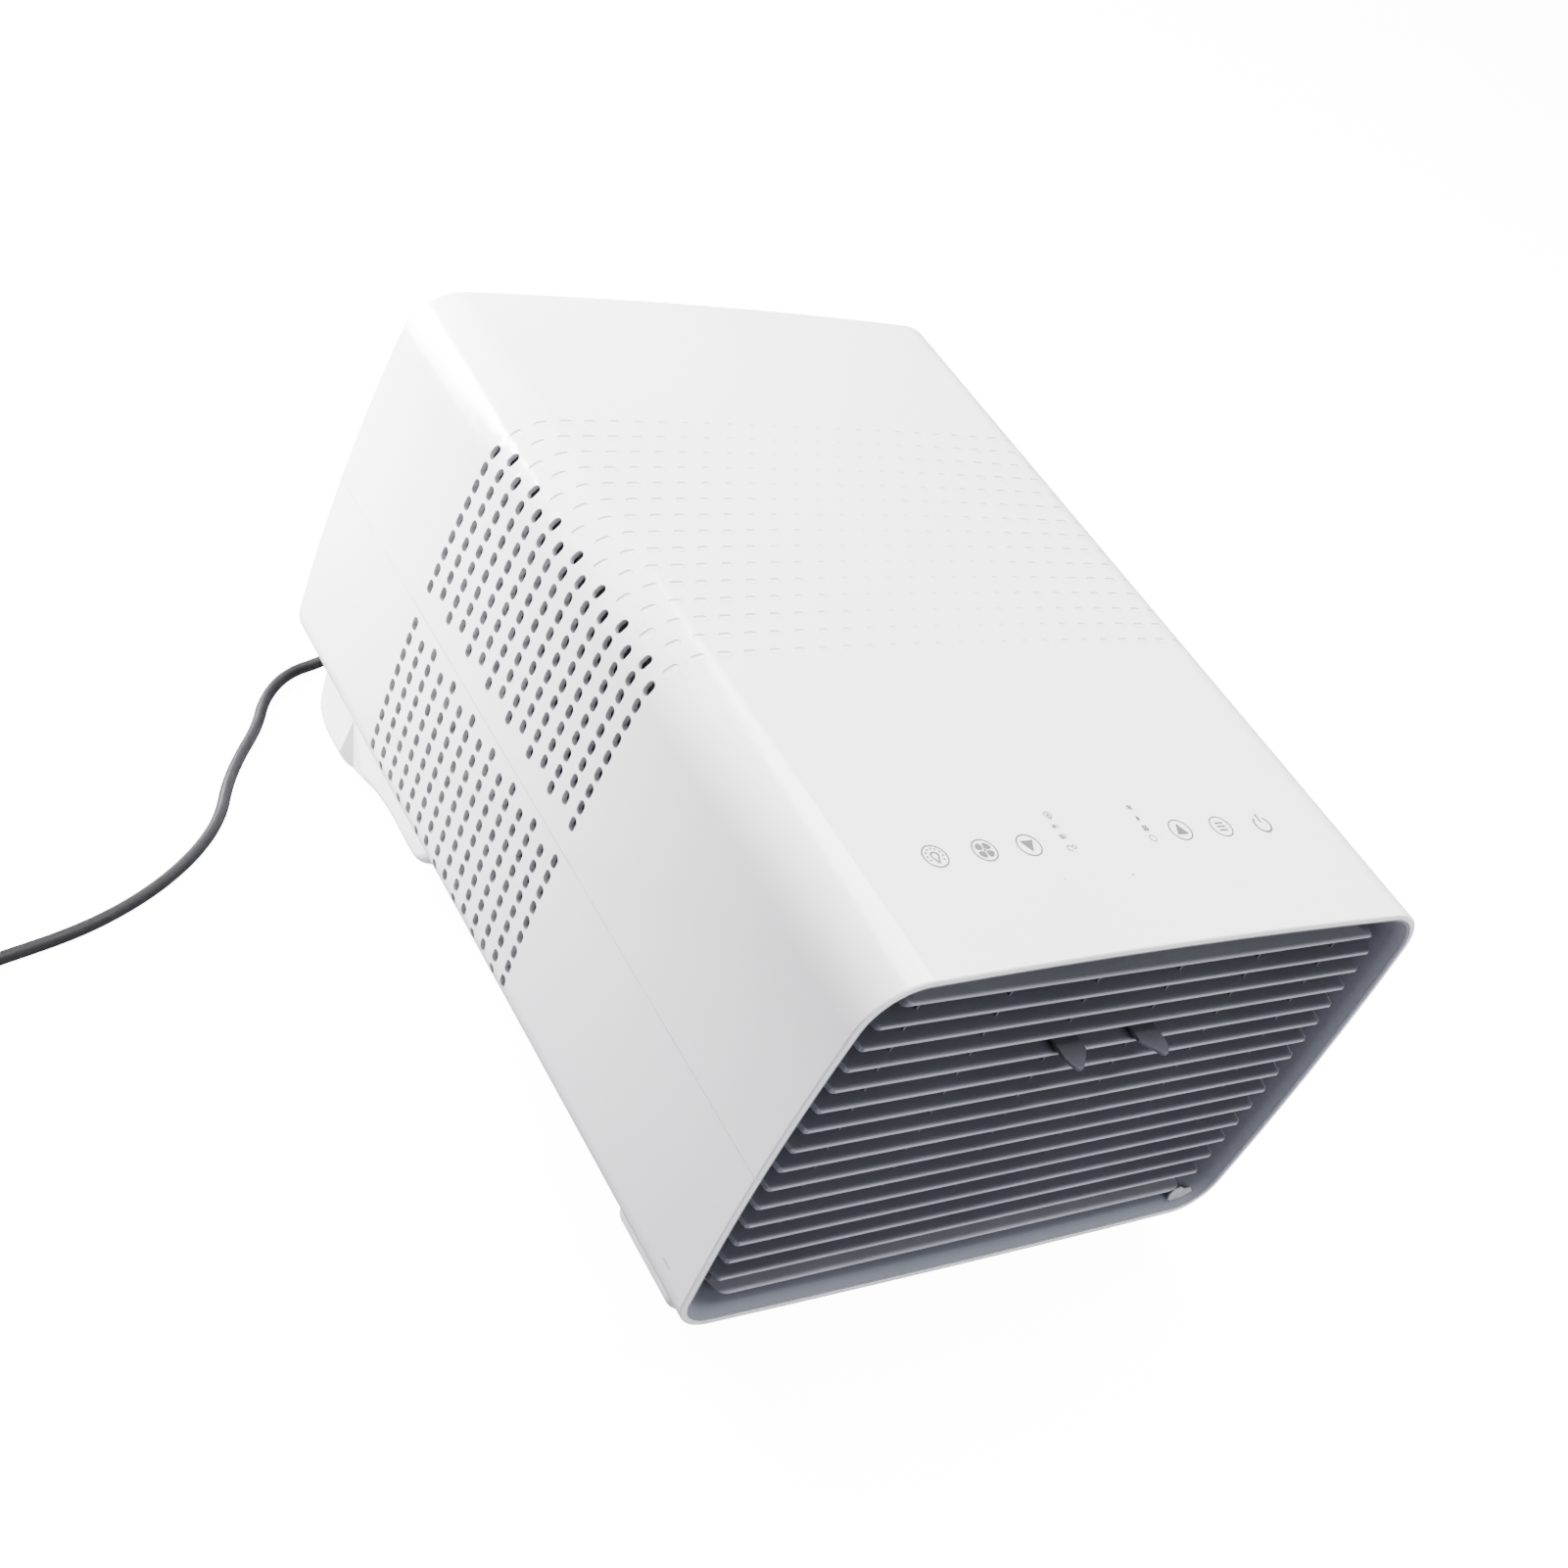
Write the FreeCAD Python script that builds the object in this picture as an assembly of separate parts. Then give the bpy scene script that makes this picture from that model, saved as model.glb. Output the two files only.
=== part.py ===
import FreeCAD, Part
import math
import os

from FreeCAD import Vector

# Compact portable cooler and dehumidifier with a louvred front outlet.
# Frame: X to the right and Y to the rear, seen from the front outlet; Z up, floor at Z = 0.
# All sizes are millimetres.

# ---------------------------------------------------------------- driving sizes
BODY_DEPTH = 473.0      # white housing, front rim to rear edge
LEVER_REACH = 8.7       # how far the thumb levers stand out in front of the rim
OUTLET_STAND = 17.0     # how far the lead's outlet stands out behind the rear edge
FRONT_Y = -(BODY_DEPTH + OUTLET_STAND - LEVER_REACH) / 2
TOP_HALF = 172.0        # half width where the top meets the side
BASE_HALF = 172.8       # half width where the side meets the underside
BODY_HEIGHT = 230.7     # underside to top, measured at the corners
FOOT_HEIGHT = 28.0      # floor to the underside of the housing
SIDE_BULGE = 5.9        # how far each side bows out at half height
TOP_CROWN = 4.0         # how far the top bows up in the middle
BASE_CROWN = 1.9        # how far the underside bows down in the middle
TOP_RADIUS = 30.0
BASE_RADIUS = 23.8
WALL = 3.0
SEAM_RISE = 112.0       # underside to the joint line of the two shells
SEAM_GAP = 0.5
REAR_FOOT_X = 166.0     # outer side of the rear feet
REAR_FOOT_INNER_X = 112.0
RIM_SET_BACK = 0.6      # front rim to the bezel's lip

BASE_Z = FOOT_HEIGHT
TOP_Z = BASE_Z + BODY_HEIGHT
SEAM_Z = BASE_Z + SEAM_RISE
REAR_Y = FRONT_Y + BODY_DEPTH
MIDDLE_Z = (BASE_Z + TOP_Z) / 2
FAR = 600.0             # larger than the object, for cutting blocks

# Side slots: lines along the depth, every other line half a pitch further down.
SLOT_LENGTH = 7.9
SLOT_WIDTH = 5.0
SLOT_LINES = 15
SLOTS_PER_LINE = 9
LINE_PITCH = 12.0
REAR_LINE_Y = FRONT_Y + 364.1
UPPER_START = 175.3     # distance round the outline from the middle of the top
UPPER_PITCH = 10.6
LOWER_START = 290.0
LOWER_PITCH = 10.52

# Front outlet.
FUNNEL_LIP = 4.2        # inset of the bezel's inner edge at the rim
FUNNEL_CREASE = 7.5     # inset where the funnel changes slope
FUNNEL_CREASE_DEPTH = 6.0
DUCT_INSET = 14.5
FUNNEL_DEPTH = 20.0
DUCT_DEPTH = 58.0
BEZEL_WALL = 3.0
FIN_COUNT = 16
FIN_PITCH = 13.12
FIN_THICKNESS = 2.6
FIRST_FIN_RISE = 212.15
FIN_FRONT = 4.4         # rim to the fins' front edges
FIN_REAR = 24.0
FIN_SIDE_INSET = 18.3
RIB_PITCH = 52.6
RIB_THICKNESS = 1.2
RIB_FRONT = 10.7

# Vertical vanes behind the fins: two banks of three.
VANE_XS = [RIB_PITCH * (i - 2.5) for i in range(6)]
VANE_THICKNESS = 1.6
VANE_FRONT = 31.0
VANE_REAR = 53.0
VANE_PIVOT = 38.0       # rim to the vanes' hinge pins
VANE_PIN_RADIUS = 2.0
VANE_PIN_LENGTH = 4.0
RUNNING_GAP = 0.05
VANE_LOW_RISE = 20.6
VANE_HIGH_RISE = 209.4
FRAME_LOW_RISE = 20.0
FRAME_HIGH_RISE = 210.0
LINK_PIN = 50.0         # rim to the pins that carry the link bar
LINK_PIN_RADIUS = 1.5
LINK_RISE = 120.0
LINK_THICKNESS = 3.0
LINK_WIDTH = 8.0
NOTCH_FRONT = 44.2
NOTCH_HEIGHT = 8.0
LEVER_TOP_RISE = 164.7
LEVER_THICKNESS = 2.0

# Fans: one behind the outlet and one in front of the rear grille.
FAN_RADIUS = 88.0
FAN_TIP_GAP = 3.0
FAN_RING_WALL = 3.0
HUB_RADIUS = 28.0
HUB_DEPTH = 22.0
SHAFT_RADIUS = 4.0
SHAFT_LENGTH = 12.0     # how far the shaft reaches into the motor
MOTOR_START = 38.0      # fan opening to the motor's face
MOTOR_RADIUS = 32.0
MOTOR_DEPTH = 34.0
BLADE_COUNT = 7
SUPPLY_FAN_DEPTH = 66.0
EXHAUST_FAN_DEPTH = 450.0

# Rear panel and boards.
PANEL_FRONT = BODY_DEPTH - 8.0
PANEL_WALL = 3.0
SCREW_RADIUS = 1.5
SCREW_DEPTH = 8.0
PAN_Z = BASE_Z + 5.0
PAN_WALL = 2.0
BOARD_TOP = TOP_Z - 4.0
BOARD_THICKNESS = 1.6

# Mains lead.
CORD_DIAMETER = 6.6
OUTLET_X = -24.0        # face of the outlet that the lead comes out of
CORD_LIE = 3.4          # height of the lead's centre line above the floor
COIL_CENTRE = Vector(-461.7, FRONT_Y + 215.6, 0)
COIL_INNER = 20.0
COIL_OUTER = 47.0
COIL_HEIGHT = 13.6
CORD_ROUTE = [
    (OUTLET_X, 483, 42), (-64, 483, 42), (-104, 481.5, 23), (-142, 478, CORD_LIE), (-170, 468.5, CORD_LIE),
    (-191, 449, CORD_LIE), (-204, 426, CORD_LIE), (-222, 405, CORD_LIE), (-237, 384, CORD_LIE),
    (-249, 361, CORD_LIE), (-268, 340, CORD_LIE), (-292, 321, CORD_LIE), (-319, 305, CORD_LIE),
    (-349, 292, CORD_LIE), (-388, 280, CORD_LIE), (-431.5, 265, CORD_LIE), (-473, 250.3, CORD_LIE),
]


def save(shape, name):
    """Write one named piece, or one group of identical pieces."""
    if not shape.isValid():
        print("not valid:", name)
    shape.exportStep("parts/" + name + ".step")
    print(name, len(shape.Solids), round(shape.Volume / 1000, 2), "cm3")


def block(x0, x1, y0, y1, z0, z1):
    """Rectangular block between two corners; Y is counted from the front rim."""
    return Part.makeBox(x1 - x0, y1 - y0, z1 - z0, Vector(x0, FRONT_Y + y0, z0))


def rod_y(radius, y0, y1, x, z):
    """Cylinder along Y; Y is counted from the front rim."""
    return Part.makeCylinder(radius, y1 - y0, Vector(x, FRONT_Y + y0, z), Vector(0, 1, 0))


def rod_z(radius, z0, z1, x, y):
    """Upright cylinder; Y is counted from the front rim."""
    return Part.makeCylinder(radius, z1 - z0, Vector(x, FRONT_Y + y, z0), Vector(0, 0, 1))


def joined(pieces):
    """One solid from overlapping pieces."""
    return pieces[0].fuse(pieces[1:]).removeSplitter()


# ---------------------------------------------------------------- housing outline
def long_edges(solid, upper):
    """The edges along Y at the two upper, or the two lower, corners."""
    chosen = []
    for edge in solid.Edges:
        ends = [vertex.Point for vertex in edge.Vertexes]
        if len(ends) < 2 or abs(ends[0].x) < TOP_HALF / 2:
            continue
        along_y = abs(ends[0].x - ends[1].x) < 0.01 and abs(ends[0].z - ends[1].z) < 0.01
        if along_y and (ends[0].z > MIDDLE_Z) == upper:
            chosen.append(edge)
    return chosen


def section(y0, y1, inset, side_inset=None, radii=None):
    """Solid with the housing's cross-section drawn in by inset, between two depths."""
    if side_inset is None:
        side_inset = inset
    if radii is None:
        radii = (TOP_RADIUS - inset, BASE_RADIUS - inset)
    y = FRONT_Y + y0
    top_half = TOP_HALF - side_inset
    base_half = BASE_HALF - side_inset
    side = (top_half + base_half) / 2 + SIDE_BULGE
    top = TOP_Z - inset
    base = BASE_Z + inset

    def arc(a, b, c):
        return Part.Arc(Vector(a[0], y, a[1]), Vector(b[0], y, b[1]), Vector(c[0], y, c[1])).toShape()

    edges = []
    for sign in (-1, 1):
        quarter = [
            arc((0, top + TOP_CROWN), (sign * top_half / 2, top + 0.75 * TOP_CROWN), (sign * top_half, top)),
            arc((sign * top_half, top), (sign * side, (top + base) / 2), (sign * base_half, base)),
            arc((sign * base_half, base), (sign * base_half / 2, base - 0.75 * BASE_CROWN),
                (0, base - BASE_CROWN)),
        ]
        edges += quarter
    wire = Part.Wire(Part.__sortEdges__(edges))
    solid = Part.Face(wire).extrude(Vector(0, y1 - y0, 0))
    solid = solid.makeFillet(radii[0], long_edges(solid, True))
    return solid.makeFillet(radii[1], long_edges(solid, False))


def section_wire(depth, inset, side_inset=None, radii=None):
    """The same cross-section as a wire at one depth."""
    solid = section(depth, depth + 1, inset, side_inset, radii)
    for face in solid.Faces:
        if abs(face.normalAt(0, 0).y) > 0.9 and abs(face.CenterOfMass.y - FRONT_Y - depth) < 0.01:
            return face.OuterWire
    raise ValueError("no end face")


def section_loft(stations):
    """Solid through cross-sections, each given as (depth, inset, side inset, radii)."""
    return Part.makeLoft([section_wire(*station) for station in stations], True, True)


def left_outline():
    """Edges of the outline's left half, from the middle of the top to the underside."""
    wire = section_wire(0, 0)
    edges = [edge for edge in wire.Edges if edge.CenterOfMass.x < -1]
    return sorted(edges, key=lambda edge: -edge.CenterOfMass.z)


def on_outline(edges, distance):
    """Point and outward normal at a distance round the outline from the middle of the top."""
    for edge in edges:
        if distance <= edge.Length:
            break
        distance -= edge.Length
    start = edge.valueAt(edge.FirstParameter)
    end = edge.valueAt(edge.LastParameter)
    runs_down = start.z > end.z
    along = distance if runs_down else edge.Length - distance
    parameter = edge.getParameterByLength(along)
    tangent = edge.tangentAt(parameter)
    normal = Vector(tangent.z, 0, -tangent.x)
    point = edge.valueAt(parameter)
    if normal.dot(point - Vector(0, point.y, MIDDLE_Z)) < 0:
        normal = normal.negative()
    return point, normal


# ---------------------------------------------------------------- housing shells
def slot_cutter():
    """Obround cutter, long along Z, that reaches in along -X."""
    half = SLOT_LENGTH / 2 - SLOT_WIDTH / 2
    radius = SLOT_WIDTH / 2
    reach_out = 2.0
    reach_in = 6.0
    x = reach_out
    edges = [
        Part.LineSegment(Vector(x, radius, -half), Vector(x, radius, half)).toShape(),
        Part.Arc(Vector(x, radius, half), Vector(x, 0, half + radius),
                 Vector(x, -radius, half)).toShape(),
        Part.LineSegment(Vector(x, -radius, half), Vector(x, -radius, -half)).toShape(),
        Part.Arc(Vector(x, -radius, -half), Vector(x, 0, -half - radius),
                 Vector(x, radius, -half)).toShape(),
    ]
    return Part.Face(Part.Wire(edges)).extrude(Vector(-reach_out - reach_in, 0, 0))


def slot_cutters(start, pitch, even_shift, odd_shift):
    """Cutters for one region of slots on both sides of the housing."""
    edges = left_outline()
    cutter = slot_cutter()
    cutters = []
    for line in range(SLOT_LINES):
        y = REAR_LINE_Y - LINE_PITCH * line
        shift = even_shift if line % 2 == 0 else odd_shift
        for k in range(SLOTS_PER_LINE):
            point, normal = on_outline(edges, start + shift + pitch * k)
            for side in (-1, 1):
                x = -side * point.x
                angle = math.degrees(math.atan2(-normal.z, -side * normal.x))
                turn = FreeCAD.Rotation(Vector(0, 1, 0), angle)
                placed = cutter.copy()
                placed.Placement = FreeCAD.Placement(Vector(x, y, point.z), turn)
                cutters.append(placed)
    return cutters


def housing_skin():
    """Closed tube of the housing with softened front and rear edges."""
    outer = section(0, BODY_DEPTH, 0)
    for depth, radius in ((0, 1.2), (BODY_DEPTH, 2.4)):
        ends = [edge for edge in outer.Edges if abs(edge.BoundBox.YMin - FRONT_Y - depth) < 0.01
                and abs(edge.BoundBox.YMax - FRONT_Y - depth) < 0.01]
        outer = outer.makeFillet(radius, ends)
    return outer.cut(section(-1, BODY_DEPTH + 1, WALL))


def screw_places(upper):
    """X and Z of the rear panel's screws on one shell."""
    z = TOP_Z - 13 if upper else BASE_Z + 13
    return [(x, z) for x in (-140, 20, 140)]


def screw_bosses(upper):
    """Bosses for the rear panel's screws, each on a rib from the shell's wall."""
    front = PANEL_FRONT - 13
    bosses = []
    for x, z in screw_places(upper):
        if upper:
            wall = TOP_Z - WALL / 2 + TOP_CROWN * (1 - (x / TOP_HALF) ** 2)
        else:
            wall = BASE_Z + WALL / 2 - BASE_CROWN * (1 - (x / BASE_HALF) ** 2)
        low, high = sorted((z, wall))
        rib = block(x - 2, x + 2, front, PANEL_FRONT, low, high)
        boss = rod_y(5.0, front, PANEL_FRONT, x, z).fuse(rib)
        bosses.append(boss.cut(rod_y(SCREW_RADIUS, PANEL_FRONT - SCREW_DEPTH, PANEL_FRONT + 1, x, z)))
    return bosses


def upper_shell():
    half = SEAM_GAP / 2
    shell = housing_skin().common(block(-FAR, FAR, -FAR, FAR, SEAM_Z + half, FAR))
    posts = [rod_z(2.5, BOARD_TOP, TOP_Z + 1, x, y) for x in (-110, 110) for y in (34, 90)]
    shell = shell.cut(slot_cutters(UPPER_START, UPPER_PITCH, UPPER_PITCH / 2, 0))
    return shell.fuse(posts + screw_bosses(True)).removeSplitter()


def seam_lip():
    """Ring inside the joint line, so that no gap shows between the shells."""
    lip_wall = 1.6
    lip_half = 7.0
    front_clear = 62.0
    rear_clear = 12.0
    ring = section(front_clear, BODY_DEPTH - rear_clear, WALL)
    ring = ring.cut(section(front_clear - 1, BODY_DEPTH - rear_clear + 1, WALL + lip_wall))
    return ring.common(block(-FAR, FAR, -FAR, FAR, SEAM_Z - lip_half, SEAM_Z + lip_half))


def solid_between(corners, faces):
    """Solid with flat faces, each face given by the numbers of its corners."""
    skin = [Part.Face(Part.makePolygon([corners[i] for i in face + face[:1]])) for face in faces]
    return Part.makeSolid(Part.makeShell(skin))


def foot_facet(sign):
    """Wedge that gives the rear foot its slanted facet, between the sole and the tail."""
    outer_x = REAR_FOOT_X + 0.5
    inner_x = REAR_FOOT_X - 6.0
    top = Vector(sign * outer_x, FRONT_Y + 400, BASE_Z + 7)
    base = [(outer_x, 402), (inner_x, 388), (inner_x, 364), (outer_x, 346)]
    corners = [top] + [Vector(sign * x, FRONT_Y + y, -2) for x, y in base]
    return solid_between(corners, [[1, 2, 3, 4], [0, 1, 2], [0, 2, 3], [0, 3, 4], [0, 4, 1]])


def rear_foot(sign):
    """Moulded foot under the rear of the housing, with a long shallow tail to the front."""
    sole = BASE_Z - 26.3
    tail = BASE_Z - 11.2
    profile = [(447, BASE_Z + 14), (441, BASE_Z - 6), (435, sole + 6), (424, sole + 1), (410, sole),
               (396, sole + 1), (382, sole + 5), (366, tail - 4), (350, tail - 0.6), (330, tail + 0.2),
               (314, tail), (304, tail + 2), (294, BASE_Z), (285, BASE_Z + 12)]
    points = [Vector(sign * REAR_FOOT_INNER_X, FRONT_Y + y, z) for y, z in profile]
    curve = Part.BSplineCurve()
    curve.interpolate(points)
    lid = Part.LineSegment(points[-1], points[0]).toShape()
    face = Part.Face(Part.Wire([curve.toShape(), lid]))
    foot = face.extrude(Vector(sign * (REAR_FOOT_X - REAR_FOOT_INNER_X), 0, 0))
    rims = [edge for edge in foot.Edges
            if edge.BoundBox.XLength < 0.01 and edge.BoundBox.ZMin < BASE_Z - 5]
    return foot.makeFillet(6.0, rims).cut(foot_facet(sign))


def front_foot(sign):
    """Small moulded foot under the front corner."""
    outer_x = 150.0
    inner_x = 108.0
    low = 1.7
    foot = block(min(sign * inner_x, sign * outer_x), max(sign * inner_x, sign * outer_x), 22, 84,
                 low, BASE_Z + 8)
    rims = [edge for edge in foot.Edges if edge.BoundBox.ZMax < BASE_Z]
    uprights = [edge for edge in foot.Edges if edge.BoundBox.ZLength > 20]
    return foot.makeFillet(7.0, rims + uprights)


def lower_shell():
    half = SEAM_GAP / 2
    shell = housing_skin().common(block(-FAR, FAR, -FAR, FAR, -FAR, SEAM_Z - half))
    inner = section(-1, BODY_DEPTH + 1, WALL)
    feet = []
    for sign in (-1, 1):
        feet.append(rear_foot(sign).cut(inner))
        feet.append(front_foot(sign).cut(inner))
    bosses = [rod_z(7.0, BASE_Z, PAN_Z, x, y) for x in (-120, 120) for y in (140, 430)]
    shell = shell.fuse(feet + bosses + screw_bosses(False) + [seam_lip()])
    cutters = slot_cutters(LOWER_START, LOWER_PITCH, 0, LOWER_PITCH / 2)
    return shell.cut(cutters + [foot_pads()]).removeSplitter()


def foot_pads():
    """Four rubber pads under the moulded feet, flat on the floor."""
    pads = []
    for sign in (-1, 1):
        pads.append(rod_z(11.0, 0, 4.0, sign * 139, 412))
        pads.append(rod_z(11.0, 0, 4.0, sign * 129, 53))
    return Part.makeCompound(pads)


# ---------------------------------------------------------------- front outlet
def front_bezel():
    """Funnel from the rim down to the rectangular duct."""
    lip = FUNNEL_CREASE - BEZEL_WALL
    outer = joined([
        section(RIM_SET_BACK, FUNNEL_CREASE_DEPTH, WALL),
        section_loft([(FUNNEL_CREASE_DEPTH, lip), (FUNNEL_DEPTH, DUCT_INSET - BEZEL_WALL)]),
        section(FUNNEL_DEPTH, DUCT_DEPTH, DUCT_INSET - BEZEL_WALL),
    ])
    mouth = section_loft([(0, FUNNEL_LIP), (FUNNEL_CREASE_DEPTH, FUNNEL_CREASE), (FUNNEL_DEPTH, DUCT_INSET)])
    return outer.cut([mouth, section(FUNNEL_DEPTH - 0.01, DUCT_DEPTH + 1, DUCT_INSET)])


def fin_rise(index):
    """Height of a fin's middle plane; fin 0 is the top one."""
    return BASE_Z + FIRST_FIN_RISE - FIN_PITCH * index


def fin(index):
    """One full-width fin with a rounded front edge."""
    radius = FIN_THICKNESS / 2
    z = fin_rise(index)
    reach = 170.0
    plate = block(-reach, reach, FIN_FRONT + radius, FIN_REAR, z - radius, z + radius)
    nose_start = Vector(-reach, FRONT_Y + FIN_FRONT + radius, z)
    nose = Part.makeCylinder(radius, 2 * reach, nose_start, Vector(1, 0, 0))
    return plate.fuse(nose)


def fin_envelope():
    """Space that the fins fill: narrower at the front, with rounded front corners."""
    end_inset = 12.0
    corner_radius = 3.0
    front = section_loft([(FIN_FRONT, end_inset, FIN_SIDE_INSET, (30.0, 20.0)),
                          (FUNNEL_DEPTH, DUCT_INSET - 1.5, DUCT_INSET + 0.1, (22.0, 12.0))])
    rims = [edge for edge in front.Edges if edge.BoundBox.YMax < FRONT_Y + FIN_FRONT + 0.01]
    front = front.makeFillet(corner_radius, rims)
    rear = section(FUNNEL_DEPTH - 0.01, FIN_REAR + 4, DUCT_INSET + 0.1)
    return front, rear


def louver_grille():
    front, rear = fin_envelope()
    ring = rear.cut(section(FUNNEL_DEPTH - 1, FIN_REAR + 5, DUCT_INSET + 3))
    pieces = []
    for i in range(FIN_COUNT):
        pieces.append(fin(i).common(front))
        pieces.append(fin(i).common(rear))
    half = RIB_THICKNESS / 2
    low = fin_rise(FIN_COUNT - 1)
    high = fin_rise(0)
    lever_low = fin_rise(4) + FIN_THICKNESS / 2
    lever_high = fin_rise(3) - FIN_THICKNESS / 2
    lever_window = block(-FAR, FAR, 0, FIN_REAR + 5, lever_low, lever_high)
    for x in VANE_XS:
        rib = block(x - half, x + half, RIB_FRONT, FIN_REAR, low, high)
        if abs(x) < RIB_PITCH:
            rib = rib.cut(lever_window)
        pieces.append(rib)
    inside = section(0, FIN_REAR + 4, DUCT_INSET - 1.0, DUCT_INSET + 0.1, (15.4, 9.2))
    return joined([ring] + pieces).common(inside)


def vane_frame():
    """Plate in the duct that carries the hinge pins of all six vanes."""
    front = VANE_PIVOT - 6
    rear = VANE_PIVOT + 6
    plate = section(front, rear, DUCT_INSET)
    window = block(-150, 150, front - 1, rear + 1, BASE_Z + FRAME_LOW_RISE, BASE_Z + FRAME_HIGH_RISE)
    hole_radius = VANE_PIN_RADIUS + RUNNING_GAP
    holes = [rod_z(hole_radius, BASE_Z + 16.0, BASE_Z + 214.0, x, VANE_PIVOT) for x in VANE_XS]
    return plate.cut([window] + holes)


def lever(x, sign):
    """Thumb lever: a flat tongue, longest on its outer side."""
    top = BASE_Z + LEVER_TOP_RISE
    tip = -LEVER_REACH

    def at(across, depth):
        return Vector(x + sign * across, FRONT_Y + depth, top)

    outline = [
        Part.LineSegment(at(-4, VANE_FRONT + 2), at(-4, 16)).toShape(),
        Part.LineSegment(at(-4, 16), at(-9.6, 10)).toShape(),
        Part.LineSegment(at(-9.6, 10), at(-9.4, 1)).toShape(),
        Part.LineSegment(at(-9.4, 1), at(-1.6, tip + 1)).toShape(),
        Part.Arc(at(-1.6, tip + 1), at(1.2, tip), at(4.2, tip + 2.4)).toShape(),
        Part.Arc(at(4.2, tip + 2.4), at(5.8, -2.5), at(6.3, 2)).toShape(),
        Part.LineSegment(at(6.3, 2), at(6.3, 10)).toShape(),
        Part.LineSegment(at(6.3, 10), at(4, 16)).toShape(),
        Part.LineSegment(at(4, 16), at(4, VANE_FRONT + 2)).toShape(),
        Part.LineSegment(at(4, VANE_FRONT + 2), at(-4, VANE_FRONT + 2)).toShape(),
    ]
    plate = Part.Face(Part.Wire(outline)).extrude(Vector(0, 0, -LEVER_THICKNESS))
    return plate.makeFillet(0.5, [edge for edge in plate.Edges if edge.BoundBox.ZLength < 0.01])


def vane(x):
    """Upright vane with a hinge pin at each end and a pin for the link bar."""
    half = VANE_THICKNESS / 2
    low = BASE_Z + VANE_LOW_RISE
    high = BASE_Z + VANE_HIGH_RISE
    link = BASE_Z + LINK_RISE
    notch = NOTCH_HEIGHT / 2
    plate = block(x - half, x + half, VANE_FRONT, VANE_REAR, low, high)
    plate = plate.cut(block(x - 5, x + 5, NOTCH_FRONT, VANE_REAR + 1, link - notch, link + notch))
    pieces = [
        plate,
        rod_z(VANE_PIN_RADIUS, low - VANE_PIN_LENGTH, low + 4, x, VANE_PIVOT),
        rod_z(VANE_PIN_RADIUS, high - 4, high + VANE_PIN_LENGTH, x, VANE_PIVOT),
        rod_z(LINK_PIN_RADIUS, link - notch - 1, link + notch + 1, x, LINK_PIN),
    ]
    if abs(x) < RIB_PITCH:
        pieces.append(lever(x, 1 if x > 0 else -1))
    return joined(pieces)


def link_bar(xs, tight_x):
    """Flat bar that joins one bank; only the hole at tight_x fits its pin closely."""
    z0 = BASE_Z + LINK_RISE - LINK_THICKNESS / 2
    z1 = z0 + LINK_THICKNESS
    half = LINK_WIDTH / 2
    bar = block(min(xs), max(xs), LINK_PIN - half, LINK_PIN + half, z0, z1)
    ends = [rod_z(half, z0, z1, x, LINK_PIN) for x in (min(xs), max(xs))]
    bar = joined([bar] + ends)
    open_gap = 0.4
    holes = []
    for x in xs:
        gap = RUNNING_GAP if x == tight_x else open_gap
        holes.append(rod_z(LINK_PIN_RADIUS + gap, z0 - 1, z1 + 1, x, LINK_PIN))
    return bar.cut(holes)


# ---------------------------------------------------------------- fans
def board_space():
    """Space kept free for the touch board."""
    return block(-121, 121, 20, 100, BOARD_TOP - 3.0, FAR)


def fan_shroud(depth, facing):
    """Bulkhead with a round duct and a three-armed motor carrier behind it."""
    plate_wall = 3.0
    inner = FAN_RADIUS + FAN_TIP_GAP
    outer = inner + FAN_RING_WALL

    def span(a, b):
        return sorted((depth + facing * a, depth + facing * b))

    p0, p1 = span(0, plate_wall)
    r0, r1 = span(0, MOTOR_START)
    c0, c1 = span(MOTOR_START - 3, MOTOR_START)
    plate = section(p0, p1, WALL).cut([seam_lip(), board_space()])
    duct = rod_y(outer, r0, r1, 0, MIDDLE_Z)
    bore = rod_y(inner, r0 - 1, r1 + 1, 0, MIDDLE_Z)
    arms = [rod_y(MOTOR_RADIUS + 6, c0, c1, 0, MIDDLE_Z)]
    for k in range(3):
        arm = Part.makeBox(12, c1 - c0, outer - 1, Vector(-6, FRONT_Y + c0, MIDDLE_Z))
        arms.append(arm.rotate(Vector(0, 0, MIDDLE_Z), Vector(0, 1, 0), 120.0 * k))
    carrier = joined(arms).cut(rod_y(SHAFT_RADIUS + 3, c0 - 1, c1 + 1, 0, MIDDLE_Z))
    return plate.fuse(duct).cut(bore).fuse(carrier).removeSplitter()


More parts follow.
